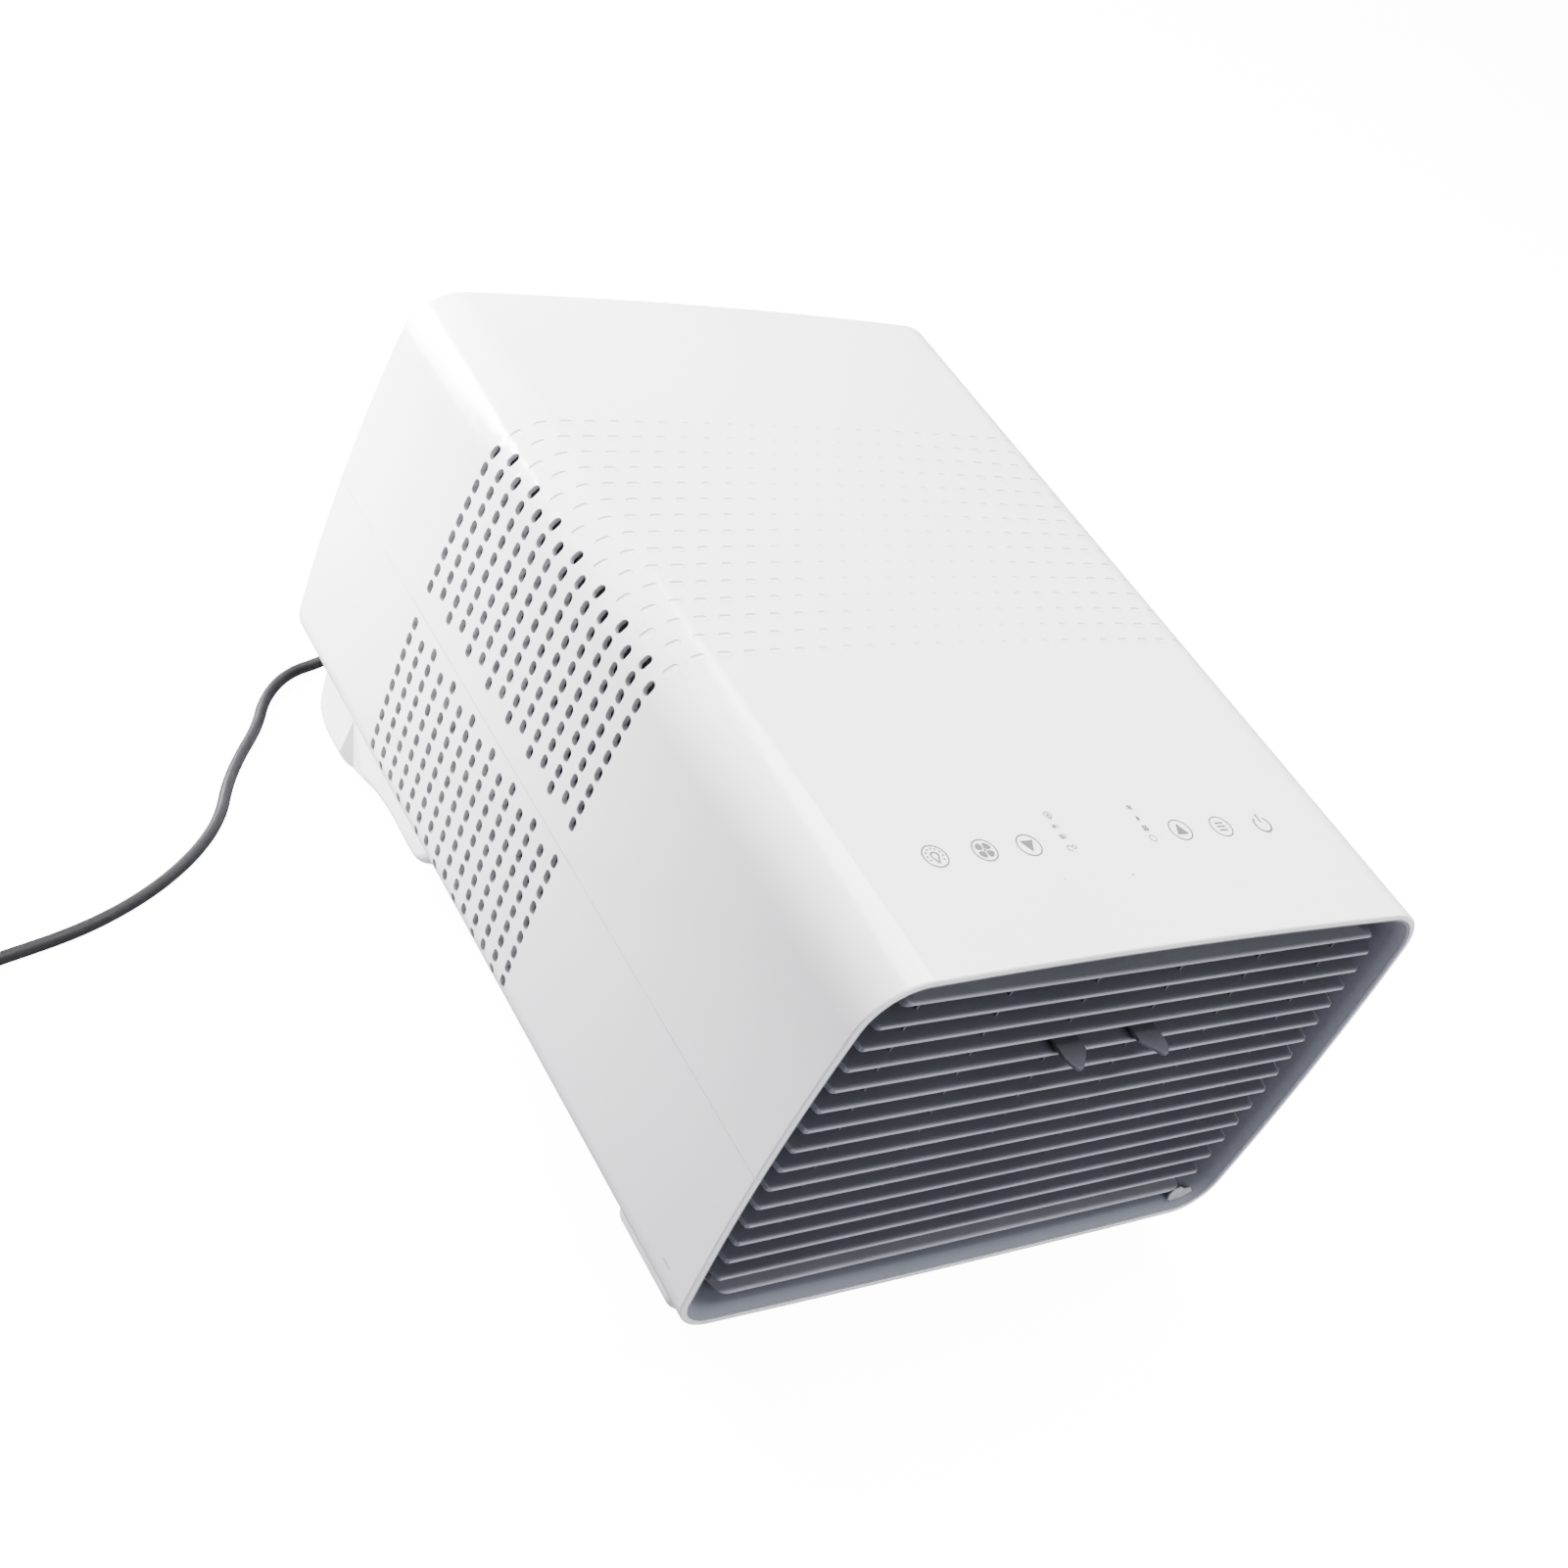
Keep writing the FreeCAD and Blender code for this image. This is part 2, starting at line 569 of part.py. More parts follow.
def impeller(depth, facing):
    """Axial fan wheel with twisted blades on a cup-shaped hub."""
    start = depth + facing * 8
    d0, d1 = sorted((start, start + facing * HUB_DEPTH))
    hub = rod_y(HUB_RADIUS, d0, d1, 0, MIDDLE_Z)
    middle = (d0 + d1) / 2
    blade_pitch = 34.0
    chord = 44.0
    thickness = 2.4
    pieces = [hub]
    for k in range(BLADE_COUNT):
        corner = Vector(-chord / 2, FRONT_Y + middle - thickness / 2, MIDDLE_Z)
        blade = Part.makeBox(chord, thickness, FAN_RADIUS, corner)
        blade.rotate(Vector(0, FRONT_Y + middle, MIDDLE_Z), Vector(0, 0, 1), blade_pitch)
        blade.rotate(Vector(0, 0, MIDDLE_Z), Vector(0, 1, 0), 360.0 / BLADE_COUNT * k)
        pieces.append(blade)
    wheel = joined(pieces).common(rod_y(FAN_RADIUS, d0 - 4, d1 + 4, 0, MIDDLE_Z))
    s0, s1 = sorted((start + facing, depth + facing * (MOTOR_START + SHAFT_LENGTH)))
    return wheel.fuse(rod_y(SHAFT_RADIUS, s0, s1, 0, MIDDLE_Z)).removeSplitter()


def fan_motor(depth, facing):
    """Motor can on the far side of the carrier, with a bore for the wheel's shaft."""
    m0, m1 = sorted((depth + facing * MOTOR_START, depth + facing * (MOTOR_START + MOTOR_DEPTH)))
    bore_end = MOTOR_START + SHAFT_LENGTH + 1
    b0, b1 = sorted((depth + facing * (MOTOR_START - 1), depth + facing * bore_end))
    can = rod_y(MOTOR_RADIUS, m0, m1, 0, MIDDLE_Z)
    far_end = m1 if facing > 0 else m0
    rims = [edge for edge in can.Edges if abs(edge.BoundBox.YMax - FRONT_Y - far_end) < 0.01
            and edge.BoundBox.YLength < 0.01]
    return can.makeFillet(4.0, rims).cut(rod_y(SHAFT_RADIUS + RUNNING_GAP, b0, b1, 0, MIDDLE_Z))


# ---------------------------------------------------------------- refrigeration
def base_pan():
    """Sheet-metal pan on the four bosses, with turned-up edges."""
    pan = block(-148, 148, 120, 440, PAN_Z, PAN_Z + 12)
    return pan.cut(block(-146, 146, 122, 438, PAN_Z + PAN_WALL, PAN_Z + 13))


def heat_exchanger(y0, y1, half_width, low, high, bends_right):
    """Finned block between two end plates, with return bends on one side."""
    plate = 2.0
    pieces = [block(-half_width, half_width, y0 + 2, y1 - 2, low + 2, high - 2)]
    for x in (-half_width - plate, half_width):
        pieces.append(block(x, x + plate, y0, y1, low, high))
    sign = 1 if bends_right else -1
    tube = 3.5
    bend = 12.0
    y = (y0 + y1) / 2
    for k in range(6):
        z = low + 22 + 28 * k
        loop = Part.makeTorus(bend, tube, Vector(sign * half_width, FRONT_Y + y, z), Vector(0, 1, 0))
        keep = sorted((sign * half_width, sign * (half_width + 30)))
        pieces.append(loop.common(block(keep[0], keep[1], y0, y1, low, high)))
    return joined(pieces)


def drip_tray():
    """Condensate tray under the evaporator."""
    z = PAN_Z + PAN_WALL
    tray = block(-142, 142, 140, 188, z, z + 12)
    return tray.cut(block(-140, 140, 142, 186, z + 2, z + 13))


def compressor():
    """Upright welded can on three feet, with its suction bottle."""
    low = PAN_Z + PAN_WALL + 8
    can = rod_z(50, low, low + 140, -50, 266)
    can = can.makeFillet(18.0, [edge for edge in can.Edges if edge.BoundBox.ZLength < 0.01])
    space = rod_z(38, low + 12, low + 128, -50, 266)
    space = space.makeFillet(8.0, [edge for edge in space.Edges if edge.BoundBox.ZLength < 0.01])
    pieces = [can]
    for k in range(3):
        foot = Part.makeBox(64, 20, 3, Vector(0, -10, 0))
        foot.rotate(Vector(0, 0, 0), Vector(0, 0, 1), 120.0 * k + 90)
        foot.translate(Vector(-50, FRONT_Y + 266, low + 2))
        pieces.append(foot)
    bottle = rod_z(16, low + 30, low + 110, 22, 266)
    bottle = bottle.makeFillet(10.0, [edge for edge in bottle.Edges if edge.BoundBox.ZLength < 0.01])
    strap = block(-5, 12, 258, 274, low + 60, low + 68)
    return joined(pieces + [bottle, strap]).cut(space)


def compressor_grommets():
    """Three rubber mounts between the compressor's feet and the pan."""
    low = PAN_Z + PAN_WALL
    mounts = []
    for k in range(3):
        angle = math.radians(120.0 * k + 90)
        x = -50 + 58 * math.cos(angle)
        y = 266 + 58 * math.sin(angle)
        mounts.append(rod_z(7, low, low + 10, x, y))
    return Part.makeCompound(mounts)


def bent_pipe(points, radius):
    """Pipe along straight runs joined by tangent arcs."""
    path, _radii = arc_path([Vector(x, FRONT_Y + y, z) for x, y, z in points])
    start = path.Vertexes[0].Point
    direction = path.Edges[0].tangentAt(path.Edges[0].FirstParameter)
    profile = Part.Wire(Part.makeCircle(radius, start, direction))
    return path.makePipeShell([profile], True, True)


def refrigerant_pipes():
    """Discharge pipe to the condenser and liquid pipe to the evaporator."""
    top = PAN_Z + PAN_WALL + 148
    high = top + 25
    low = top + 10
    discharge = bent_pipe([(-50, 266, top), (-50, 266, high), (-100, 300, high), (-100, 348, high)], 4)
    suction = bent_pipe([(22, 266, top - 30), (22, 266, low), (80, 215, low), (80, 178, low)], 4)
    return Part.makeCompound([discharge, suction])


# ---------------------------------------------------------------- rear, filters, electronics
def rear_panel():
    """Rear wall with three columns of outlet slots, set inside the housing."""
    front = PANEL_FRONT
    rear = PANEL_FRONT + PANEL_WALL
    panel = section(front, rear, WALL)
    places = screw_places(True) + screw_places(False)
    cutters = [rod_y(SCREW_RADIUS + 0.3, front - 1, rear + 1, x, z) for x, z in places]
    for column in (-1, 0, 1):
        for row in range(13):
            z = BASE_Z + 56 + 12 * row
            bar = block(column * 88 - 38, column * 88 + 38, front - 1, rear + 1, z - 3, z + 3)
            cutters.append(bar.makeFillet(2.9, [edge for edge in bar.Edges if edge.BoundBox.YLength > 3]))
    return panel.cut(cutters)


def panel_screws():
    """Six cross-head screws that hold the rear panel to the shells."""
    seat = PANEL_FRONT + PANEL_WALL
    top = seat + 2.2
    screws = []
    for x, z in screw_places(True) + screw_places(False):
        head = rod_y(3.6, seat, top, x, z)
        rim = [edge for edge in head.Edges if edge.BoundBox.YMin > FRONT_Y + top - 0.1]
        head = head.makeFillet(0.9, rim)
        cross = [block(x - 2, x + 2, top - 1.2, top + 1, z - 0.4, z + 0.4),
                 block(x - 0.4, x + 0.4, top - 1.2, top + 1, z - 2, z + 2)]
        shank = rod_y(SCREW_RADIUS, PANEL_FRONT - SCREW_DEPTH, seat + 0.5, x, z)
        screws.append(head.cut(cross).fuse(shank).removeSplitter())
    return Part.makeCompound(screws)


def side_filter(sign):
    """Mesh screen that lines the inside of one side, behind all its slots."""
    gap = 1.6
    thickness = 1.6
    ring = section(186, 374, WALL + gap).cut(section(185, 375, WALL + gap + thickness))
    low = BASE_Z + 7
    high = TOP_Z - 4
    edges = sorted((sign * 150, sign * FAR))
    return ring.common(block(edges[0], edges[1], 180, 380, low, high))


def control_board():
    """Main circuit board on edge in the pan, with its larger components."""
    x = 118.0
    pieces = [block(x, x + BOARD_THICKNESS, 210, 330, PAN_Z + PAN_WALL, 150)]
    components = [(225, 60, 22, 24), (262, 54, 16, 18), (292, 70, 26, 14), (236, 110, 18, 12),
                  (300, 120, 14, 10)]
    for y, z, size, height in components:
        pieces.append(block(x - height, x, y, y + size, z, z + size))
    return joined(pieces)


def touch_board():
    """Key and display board close under the top, screwed to four posts."""
    board = block(-118, 118, 28, 96, BOARD_TOP - BOARD_THICKNESS, BOARD_TOP)
    chip = block(-12, 12, 74, 92, BOARD_TOP - BOARD_THICKNESS - 1, BOARD_TOP - BOARD_THICKNESS)
    return joined([board, chip])


# ---------------------------------------------------------------- mains lead
def cord_outlet():
    """Hooded block low on the rear panel; the lead leaves it sideways."""
    hood = block(OUTLET_X, OUTLET_X + 26, PANEL_FRONT + PANEL_WALL, BODY_DEPTH + OUTLET_STAND,
                 BASE_Z + 3.5, BASE_Z + 26)
    return hood.makeFillet(3.0, [edge for edge in hood.Edges if edge.BoundBox.YMax > REAR_Y + 10])


def strain_relief():
    """Ribbed tapered sleeve round the start of the lead."""
    length = 22.0
    start = Vector(CORD_ROUTE[0][0], FRONT_Y + CORD_ROUTE[0][1], CORD_ROUTE[0][2])
    back = Vector(-1, 0, 0)
    cone = Part.makeCone(6.2, 4.4, length, start, back)
    cutters = [Part.makeCylinder(CORD_DIAMETER / 2, length + 2, start - back, back)]
    for k in range(4):
        at = start + back * (4 + 4.4 * k)
        cutters.append(Part.makeCylinder(7, 1.4, at, back).cut(Part.makeCylinder(4.2, 1.4, at, back)))
    return cone.cut(cutters)


def arc_path(points):
    """Wire of straight runs joined by tangent arcs, each as large as its two runs allow."""
    edges = []
    radii = []
    last = points[0]
    for i in range(1, len(points) - 1):
        before = points[i - 1] - points[i]
        after = points[i + 1] - points[i]
        turn = math.pi - before.getAngle(after)
        setback = 0.45 * min(before.Length, after.Length)
        into = points[i] + before.normalize() * setback
        out = points[i] + after.normalize() * setback
        radius = setback / math.tan(turn / 2)
        bisector = (before + after).normalize()
        middle = points[i] + bisector * (radius / math.cos(turn / 2) - radius)
        edges.append(Part.LineSegment(last, into).toShape())
        edges.append(Part.Arc(into, middle, out).toShape())
        radii.append(radius)
        last = out
    edges.append(Part.LineSegment(last, points[-1]).toShape())
    return Part.Wire(edges), radii


def mains_cord():
    """Lead from the sleeve to the coil, lying on the floor."""
    points = [Vector(x, FRONT_Y + y, z) for x, y, z in CORD_ROUTE]
    path, radii = arc_path(points)
    start = path.Edges[0].valueAt(path.Edges[0].FirstParameter)
    profile = Part.Wire(Part.makeCircle(CORD_DIAMETER / 2, start, points[1] - points[0]))
    tube = path.makePipeShell([profile], True, True)
    expected = math.pi * CORD_DIAMETER ** 2 / 4 * path.Length
    print("lead radii", [round(radius) for radius in radii])
    print("lead length", round(path.Length), "volume ratio", round(tube.Volume / expected, 4))
    return tube


def cord_coil():
    """Outer shape of the coiled rest of the lead."""
    outer = Part.makeCylinder(COIL_OUTER, COIL_HEIGHT, COIL_CENTRE)
    ring = outer.cut(Part.makeCylinder(COIL_INNER, COIL_HEIGHT, COIL_CENTRE))
    return ring.makeFillet(3.2, [edge for edge in ring.Edges if edge.BoundBox.ZLength < 0.01])


def mains_plug():
    """Flat two-pin plug with its sleeve, lying beside the coil."""
    width = 30.0
    length = 34.0
    height = 16.0
    x = COIL_CENTRE.x - 43.5
    body = block(x - width / 2, x + width / 2, 142, 142 + length, 0, height)
    sides = [edge for edge in body.Edges if edge.BoundBox.ZLength > 1]
    body = body.makeFillet(6.0, sides)
    body = body.makeFillet(4.0, [edge for edge in body.Edges if edge.BoundBox.ZLength < 0.01])
    forward = Vector(0, 1, 0)
    sleeve = Part.makeCone(5.6, 4.4, 28, Vector(x, FRONT_Y + 141 + length, height / 2), forward)
    pins = [rod_y(2.2, 123, 143, x + side * 9.5, height / 2) for side in (-1, 1)]
    return joined([body, sleeve] + pins)


def main():
    os.makedirs("parts", exist_ok=True)
    save(upper_shell(), "upper_shell")
    save(lower_shell(), "lower_shell")
    save(foot_pads(), "foot_pads")
    save(front_bezel(), "front_bezel")
    save(louver_grille(), "louver_grille")
    save(vane_frame(), "vane_frame")
    names = ("left_outer", "left_middle", "left_inner", "right_inner", "right_middle", "right_outer")
    for name, x in zip(names, VANE_XS):
        save(vane(x), "vane_" + name)
    save(link_bar(VANE_XS[:3], VANE_XS[2]), "link_bar_left")
    save(link_bar(VANE_XS[3:], VANE_XS[3]), "link_bar_right")
    for name, depth, facing in (("supply", SUPPLY_FAN_DEPTH, 1), ("exhaust", EXHAUST_FAN_DEPTH, -1)):
        save(fan_shroud(depth, facing), name + "_shroud")
        save(impeller(depth, facing), name + "_impeller")
        save(fan_motor(depth, facing), name + "_motor")
    save(base_pan(), "base_pan")
    save(drip_tray(), "drip_tray")
    pan_floor = PAN_Z + PAN_WALL
    save(heat_exchanger(150, 180, 128, pan_floor + 2, TOP_Z - 22, True), "evaporator")
    save(heat_exchanger(346, 374, 132, pan_floor, TOP_Z - 20, False), "condenser")
    save(compressor(), "compressor")
    save(compressor_grommets(), "compressor_grommets")
    save(refrigerant_pipes(), "refrigerant_pipes")
    save(rear_panel(), "rear_panel")
    save(panel_screws(), "panel_screws")
    save(side_filter(-1), "left_filter")
    save(side_filter(1), "right_filter")
    save(control_board(), "control_board")
    save(touch_board(), "touch_board")
    save(cord_outlet(), "cord_outlet")
    save(strain_relief(), "strain_relief")
    save(mains_cord(), "mains_cord")
    save(cord_coil(), "cord_coil")
    save(mains_plug(), "mains_plug")


main()
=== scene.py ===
import math

import bpy
from mathutils import Matrix, Vector


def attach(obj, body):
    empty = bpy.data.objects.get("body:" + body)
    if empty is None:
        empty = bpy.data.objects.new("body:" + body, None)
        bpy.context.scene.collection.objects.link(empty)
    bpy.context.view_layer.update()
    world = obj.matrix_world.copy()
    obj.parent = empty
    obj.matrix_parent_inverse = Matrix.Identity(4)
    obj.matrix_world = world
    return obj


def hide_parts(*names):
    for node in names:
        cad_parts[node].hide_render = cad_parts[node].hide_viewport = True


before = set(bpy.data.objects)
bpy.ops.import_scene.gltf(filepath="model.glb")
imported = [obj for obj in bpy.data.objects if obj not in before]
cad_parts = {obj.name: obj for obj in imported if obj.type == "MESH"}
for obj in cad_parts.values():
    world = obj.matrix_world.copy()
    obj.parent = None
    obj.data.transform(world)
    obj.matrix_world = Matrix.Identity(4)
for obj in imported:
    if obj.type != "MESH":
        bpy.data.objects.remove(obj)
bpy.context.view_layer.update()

# ---------------------------------------------------------------- sizes
# Metres are scene units. All other lengths here are millimetres in the CAD's frame, except that Y is
# counted backwards from the front rim.
MM = 0.001
FRONT_Y = -240.65             # plane of the front rim

SIDE_CENTRE = (-952.26, 139.45)      # centres of the cross-section's arcs, in X and Z
SIDE_RADIUS = 1130.57
UPPER_CENTRE = (144.59, 229.85)
UPPER_RADIUS = 30.0
LOWER_CENTRE = (151.0, 51.36)
LOWER_RADIUS = 23.8
FILLET_START = 2.0                   # past a fillet's centre by this height, the fillet is the outline

TOP_Z = 258.7                        # top surface: its height, crown and the crown's radius
TOP_CROWN = 4.0
CROWN_RADIUS = 3700.0


def mm(x, y, z):
    """Point in metres from millimetres; Y is counted from the front rim."""
    return Vector((x * MM, (FRONT_Y + y) * MM, z * MM))


def add_object(name, data):
    """New object in the scene with this mesh, curve, light or camera."""
    made = bpy.data.objects.new(name, data)
    bpy.context.scene.collection.objects.link(made)
    return made


def add_mesh(name, points, faces):
    mesh = bpy.data.meshes.new(name)
    mesh.from_pydata(points, [], faces)
    return add_object(name, mesh)


# ---------------------------------------------------------------- camera
FOCAL_LENGTH = 55.33
SENSOR_WIDTH = 36.0
CAMERA_PLACE = (-777.0, -439.8, 848.8)
CAMERA_RIGHT = (0.7905, -0.4696, 0.3931)
CAMERA_AHEAD = (0.6097, 0.5431, -0.5773)


def make_camera():
    """Camera at the photograph's place, aim, roll and focal length."""
    data = bpy.data.cameras.new("camera")
    data.lens = FOCAL_LENGTH
    data.sensor_width = SENSOR_WIDTH
    data.clip_start = 0.01
    data.clip_end = 50.0
    camera = add_object("camera", data)
    right = Vector(CAMERA_RIGHT).normalized()
    ahead = Vector(CAMERA_AHEAD).normalized()
    up = right.cross(ahead).normalized()
    right = ahead.cross(up).normalized()
    turn = Matrix((right, up, -ahead)).transposed().to_4x4()
    camera.matrix_world = Matrix.Translation(mm(*CAMERA_PLACE)) @ turn
    bpy.context.scene.camera = camera


make_camera()


# ---------------------------------------------------------------- mains lead
CORD_DIAMETER = 6.6
CORD_LIE = 3.4                # height of the centre line where it lies on the floor
CORD_EXIT = (-24, 483, 42)
CORD_ROUTE = [
    CORD_EXIT, (-64, 483, 42), (-104, 481.5, 23), (-142, 478, CORD_LIE), (-170, 468.5, CORD_LIE),
    (-191, 449, CORD_LIE), (-204, 426, CORD_LIE), (-222, 405, CORD_LIE), (-237, 384, CORD_LIE),
    (-249, 361, CORD_LIE), (-268, 340, CORD_LIE), (-292, 321, CORD_LIE), (-319, 305, CORD_LIE),
    (-349, 292, CORD_LIE), (-388, 281, CORD_LIE), (-431.5, 269, CORD_LIE),
]
COIL_X = -461.7
COIL_Y = 215.6
COIL_START = 104.0            # bearing where the lead joins the coil, in degrees
COIL_OUTER = 43.4             # radius of the outermost turn's centre line
COIL_TURNS = 3                # turns in each of the two layers
TURN_POINTS = 18
TURN_PITCH = 6.7              # between neighbouring turns
LAYER_RISE = 6.7
LAST_TURN_PART = 0.21         # part of one more turn, which leads off to the plug
PLUG_X = COIL_X - 43.5
LEAD_END = [(PLUG_X, 208, 9.4), (PLUG_X, 200, 8.2)]


def coil_points():
    """Control points of the put-away coil: a lower spiral inwards, an upper one outwards."""
    points = []
    start = math.radians(COIL_START)
    swell = 1 / math.cos(math.pi / TURN_POINTS) ** 0.5
    total = 2 * COIL_TURNS * TURN_POINTS
    last = int(total + LAST_TURN_PART * TURN_POINTS)
    for i in range(last + 1):
        turns = i / TURN_POINTS
        if turns <= COIL_TURNS:
            radius = COIL_OUTER - TURN_PITCH * turns
        else:
            radius = COIL_OUTER - TURN_PITCH * (2 * COIL_TURNS - turns)
        radius = min(radius, COIL_OUTER) * swell
        climb = min(max((turns - COIL_TURNS + 0.25) / 0.5, 0), 1)
        z = CORD_LIE + LAYER_RISE * climb
        angle = start + 2 * math.pi * turns
        points.append((COIL_X + radius * math.cos(angle), COIL_Y + radius * math.sin(angle), z))
    return points


def nurbs(name, points, radius):
    """Round tube along a smooth spline with these control points; all in millimetres."""
    curve = bpy.data.curves.new(name, "CURVE")
    curve.dimensions = "3D"
    curve.bevel_depth = 1.0  # metres, times the radius of each point
    curve.bevel_resolution = 6
    curve.resolution_u = 8
    curve.use_fill_caps = True
    spline = curve.splines.new("NURBS")
    spline.points.add(len(points) - 1)
    for point, place in zip(spline.points, points):
        at = mm(*place)
        point.co = (at.x, at.y, at.z, 1)
        point.radius = radius * MM
    spline.order_u = 3
    spline.use_endpoint_u = True
    return add_object(name, curve)


lead = nurbs("mains_lead", CORD_ROUTE + coil_points() + LEAD_END, CORD_DIAMETER / 2)
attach(lead, "housing")
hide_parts("mains_cord", "cord_coil")


# ---------------------------------------------------------------- materials
def material(name):
    """Empty node material with its output; returns the tree and the output node."""
    made = bpy.data.materials.new(name)
    made.use_nodes = True
    tree = made.node_tree
    tree.nodes.clear()
    output = tree.nodes.new("ShaderNodeOutputMaterial")
    return made, tree, output


def node(tree, kind, inputs=None, **settings):
    """A node with settings, and with values or links on its inputs."""
    made = tree.nodes.new("ShaderNode" + kind)
    for key, value in settings.items():
        setattr(made, key, value)
    for key, value in (inputs or {}).items():
        if isinstance(value, bpy.types.NodeSocket):
            tree.links.new(value, made.inputs[key])
        else:
            made.inputs[key].default_value = value
    return made


def maths(tree, operation, first, second=None):
    """Output of one arithmetic node on sockets or numbers."""
    inputs = {0: first}
    if second is not None:
        inputs[1] = second
    return node(tree, "Math", inputs, operation=operation).outputs[0]


def add(tree, first, second):
    return maths(tree, "ADD", first, second)


def take(tree, first, second):
    """The first less the second."""
    return maths(tree, "SUBTRACT", first, second)


def times(tree, first, second):
    return maths(tree, "MULTIPLY", first, second)


def choose(tree, switch, off, on):
    """The socket off where the switch is 0, and on where it is 1."""
    return add(tree, times(tree, off, take(tree, 1.0, switch)), times(tree, on, switch))


def step(tree, value, low, high, from_value=0.0, to_value=1.0):
    """Smooth step of a socket from low to high."""
    made = node(tree, "MapRange", {"Value": value, "From Min": low, "From Max": high,
                                   "To Min": from_value, "To Max": to_value},
                interpolation_type="SMOOTHSTEP")
    return made.outputs["Result"]


def mix_colour(tree, factor, first, second):
    """Colour that goes from the first, at factor 0, to the second, at 1."""
    made = tree.nodes.new("ShaderNodeMix")
    made.data_type = "RGBA"
    for socket, value in ((made.inputs[0], factor), (made.inputs[6], first), (made.inputs[7], second)):
        if isinstance(value, bpy.types.NodeSocket):
            tree.links.new(value, socket)
        else:
            socket.default_value = value
    return made.outputs[2]


def object_place(tree):
    """The place of a point in the CAD's frame, in metres."""
    return node(tree, "TexCoord").outputs["Object"]


def axes(tree, place):
    """The outputs X, Y and Z of a place, in metres."""
    return node(tree, "SeparateXYZ", {0: place}).outputs


def in_mm(tree, length):
    return times(tree, length, 1 / MM)


def behind_rim(tree, place):
    """Distance behind the front rim, in millimetres."""
    return take(tree, in_mm(tree, axes(tree, place)["Y"]), FRONT_Y)


def noise(tree, place, scale, detail=3.0, roughness=0.55):
    inputs = {"Vector": place, "Scale": scale, "Detail": detail, "Roughness": roughness}
    return node(tree, "TexNoise", inputs).outputs["Fac"]


def bump(tree, height, strength, distance, normal=None, invert=False):
    """Normal output of a bump, on top of another normal when given."""
    inputs = {"Height": height, "Strength": strength, "Distance": distance}
    if normal is not None:
        inputs["Normal"] = normal
    return node(tree, "Bump", inputs, invert=invert).outputs["Normal"]


def finish_surface(tree, output, inputs):
    """Principled shader with these inputs, linked to the material's output."""
    shader = node(tree, "BsdfPrincipled", inputs)
    tree.links.new(shader.outputs[0], output.inputs["Surface"])


def link_for_camera(tree, output, others, camera):
    """Links one shader for what the camera sees, and the other one for all light that bounces."""
    seen = node(tree, "LightPath").outputs["Is Camera Ray"]
    both = node(tree, "MixShader", {0: seen})
    tree.links.new(others.outputs[0], both.inputs[1])
    tree.links.new(camera.outputs[0], both.inputs[2])
    tree.links.new(both.outputs[0], output.inputs["Surface"])


def rgba(colour, factor=1.0):
    return (colour[0] * factor, colour[1] * factor, colour[2] * factor, 1.0)


def surface(name, colour, rough=(0.3, 0.4), grain=(900.0, 0.04), patch=(14.0, 0.04), metallic=0.0,
            specular=0.5, coat=0.0, grain_depth=0.00004):
    """Moulded, painted or metal surface: soft colour patches, uneven roughness and a fine grain."""
    made, tree, output = material(name)
    place = object_place(tree)
    cloudy = noise(tree, place, patch[0])
    fine = noise(tree, place, grain[0], detail=2.0)
    light, dark = rgba(colour, 1 + patch[1] / 2), rgba(colour, 1 - patch[1])
    tone = mix_colour(tree, step(tree, cloudy, 0.3, 0.7), dark, light)
    speckle = times(tree, step(tree, fine, 0.35, 0.7), grain[1])
    tone = mix_colour(tree, speckle, tone, rgba(colour, 0.6))
    mixed = add(tree, times(tree, cloudy, 0.6), times(tree, fine, 0.4))
    finish_surface(tree, output, {
        "Base Color": tone, "Roughness": step(tree, mixed, 0.3, 0.7, rough[0], rough[1]),
        "Metallic": metallic, "Specular IOR Level": specular, "Coat Weight": coat,
        "Coat Roughness": 0.06, "Normal": bump(tree, fine, 0.6, grain_depth)})
    return made


def paint(target, made):
    """Give a CAD node or a piece this one material."""
    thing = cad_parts[target] if isinstance(target, str) else target
    thing.data.materials.clear()
    thing.data.materials.append(made)


# Blind dashes across the top. They stand on lines across the housing and are staggered from line to
# line. They start on the fillets as long as the side slots and shrink to dots at the middle.
REAR_LINE = 364.1
LINE_PITCH = 12.0
LINE_COUNT = 15
DASH_START = 167.53                  # distance from the middle, along the surface, of the outermost dash
DASH_PITCH = 13.94
DASH_GROWTH_END = 165.0              # the dashes grow up to this distance from the middle
DASH_HALF = (0.2, 1.75)              # half of the straight part: at the middle, and what it gains outwards
DASH_RADIUS = (1.15, 0.65)           # half of the width, in the same way
DASH_SOFTNESS = 0.22


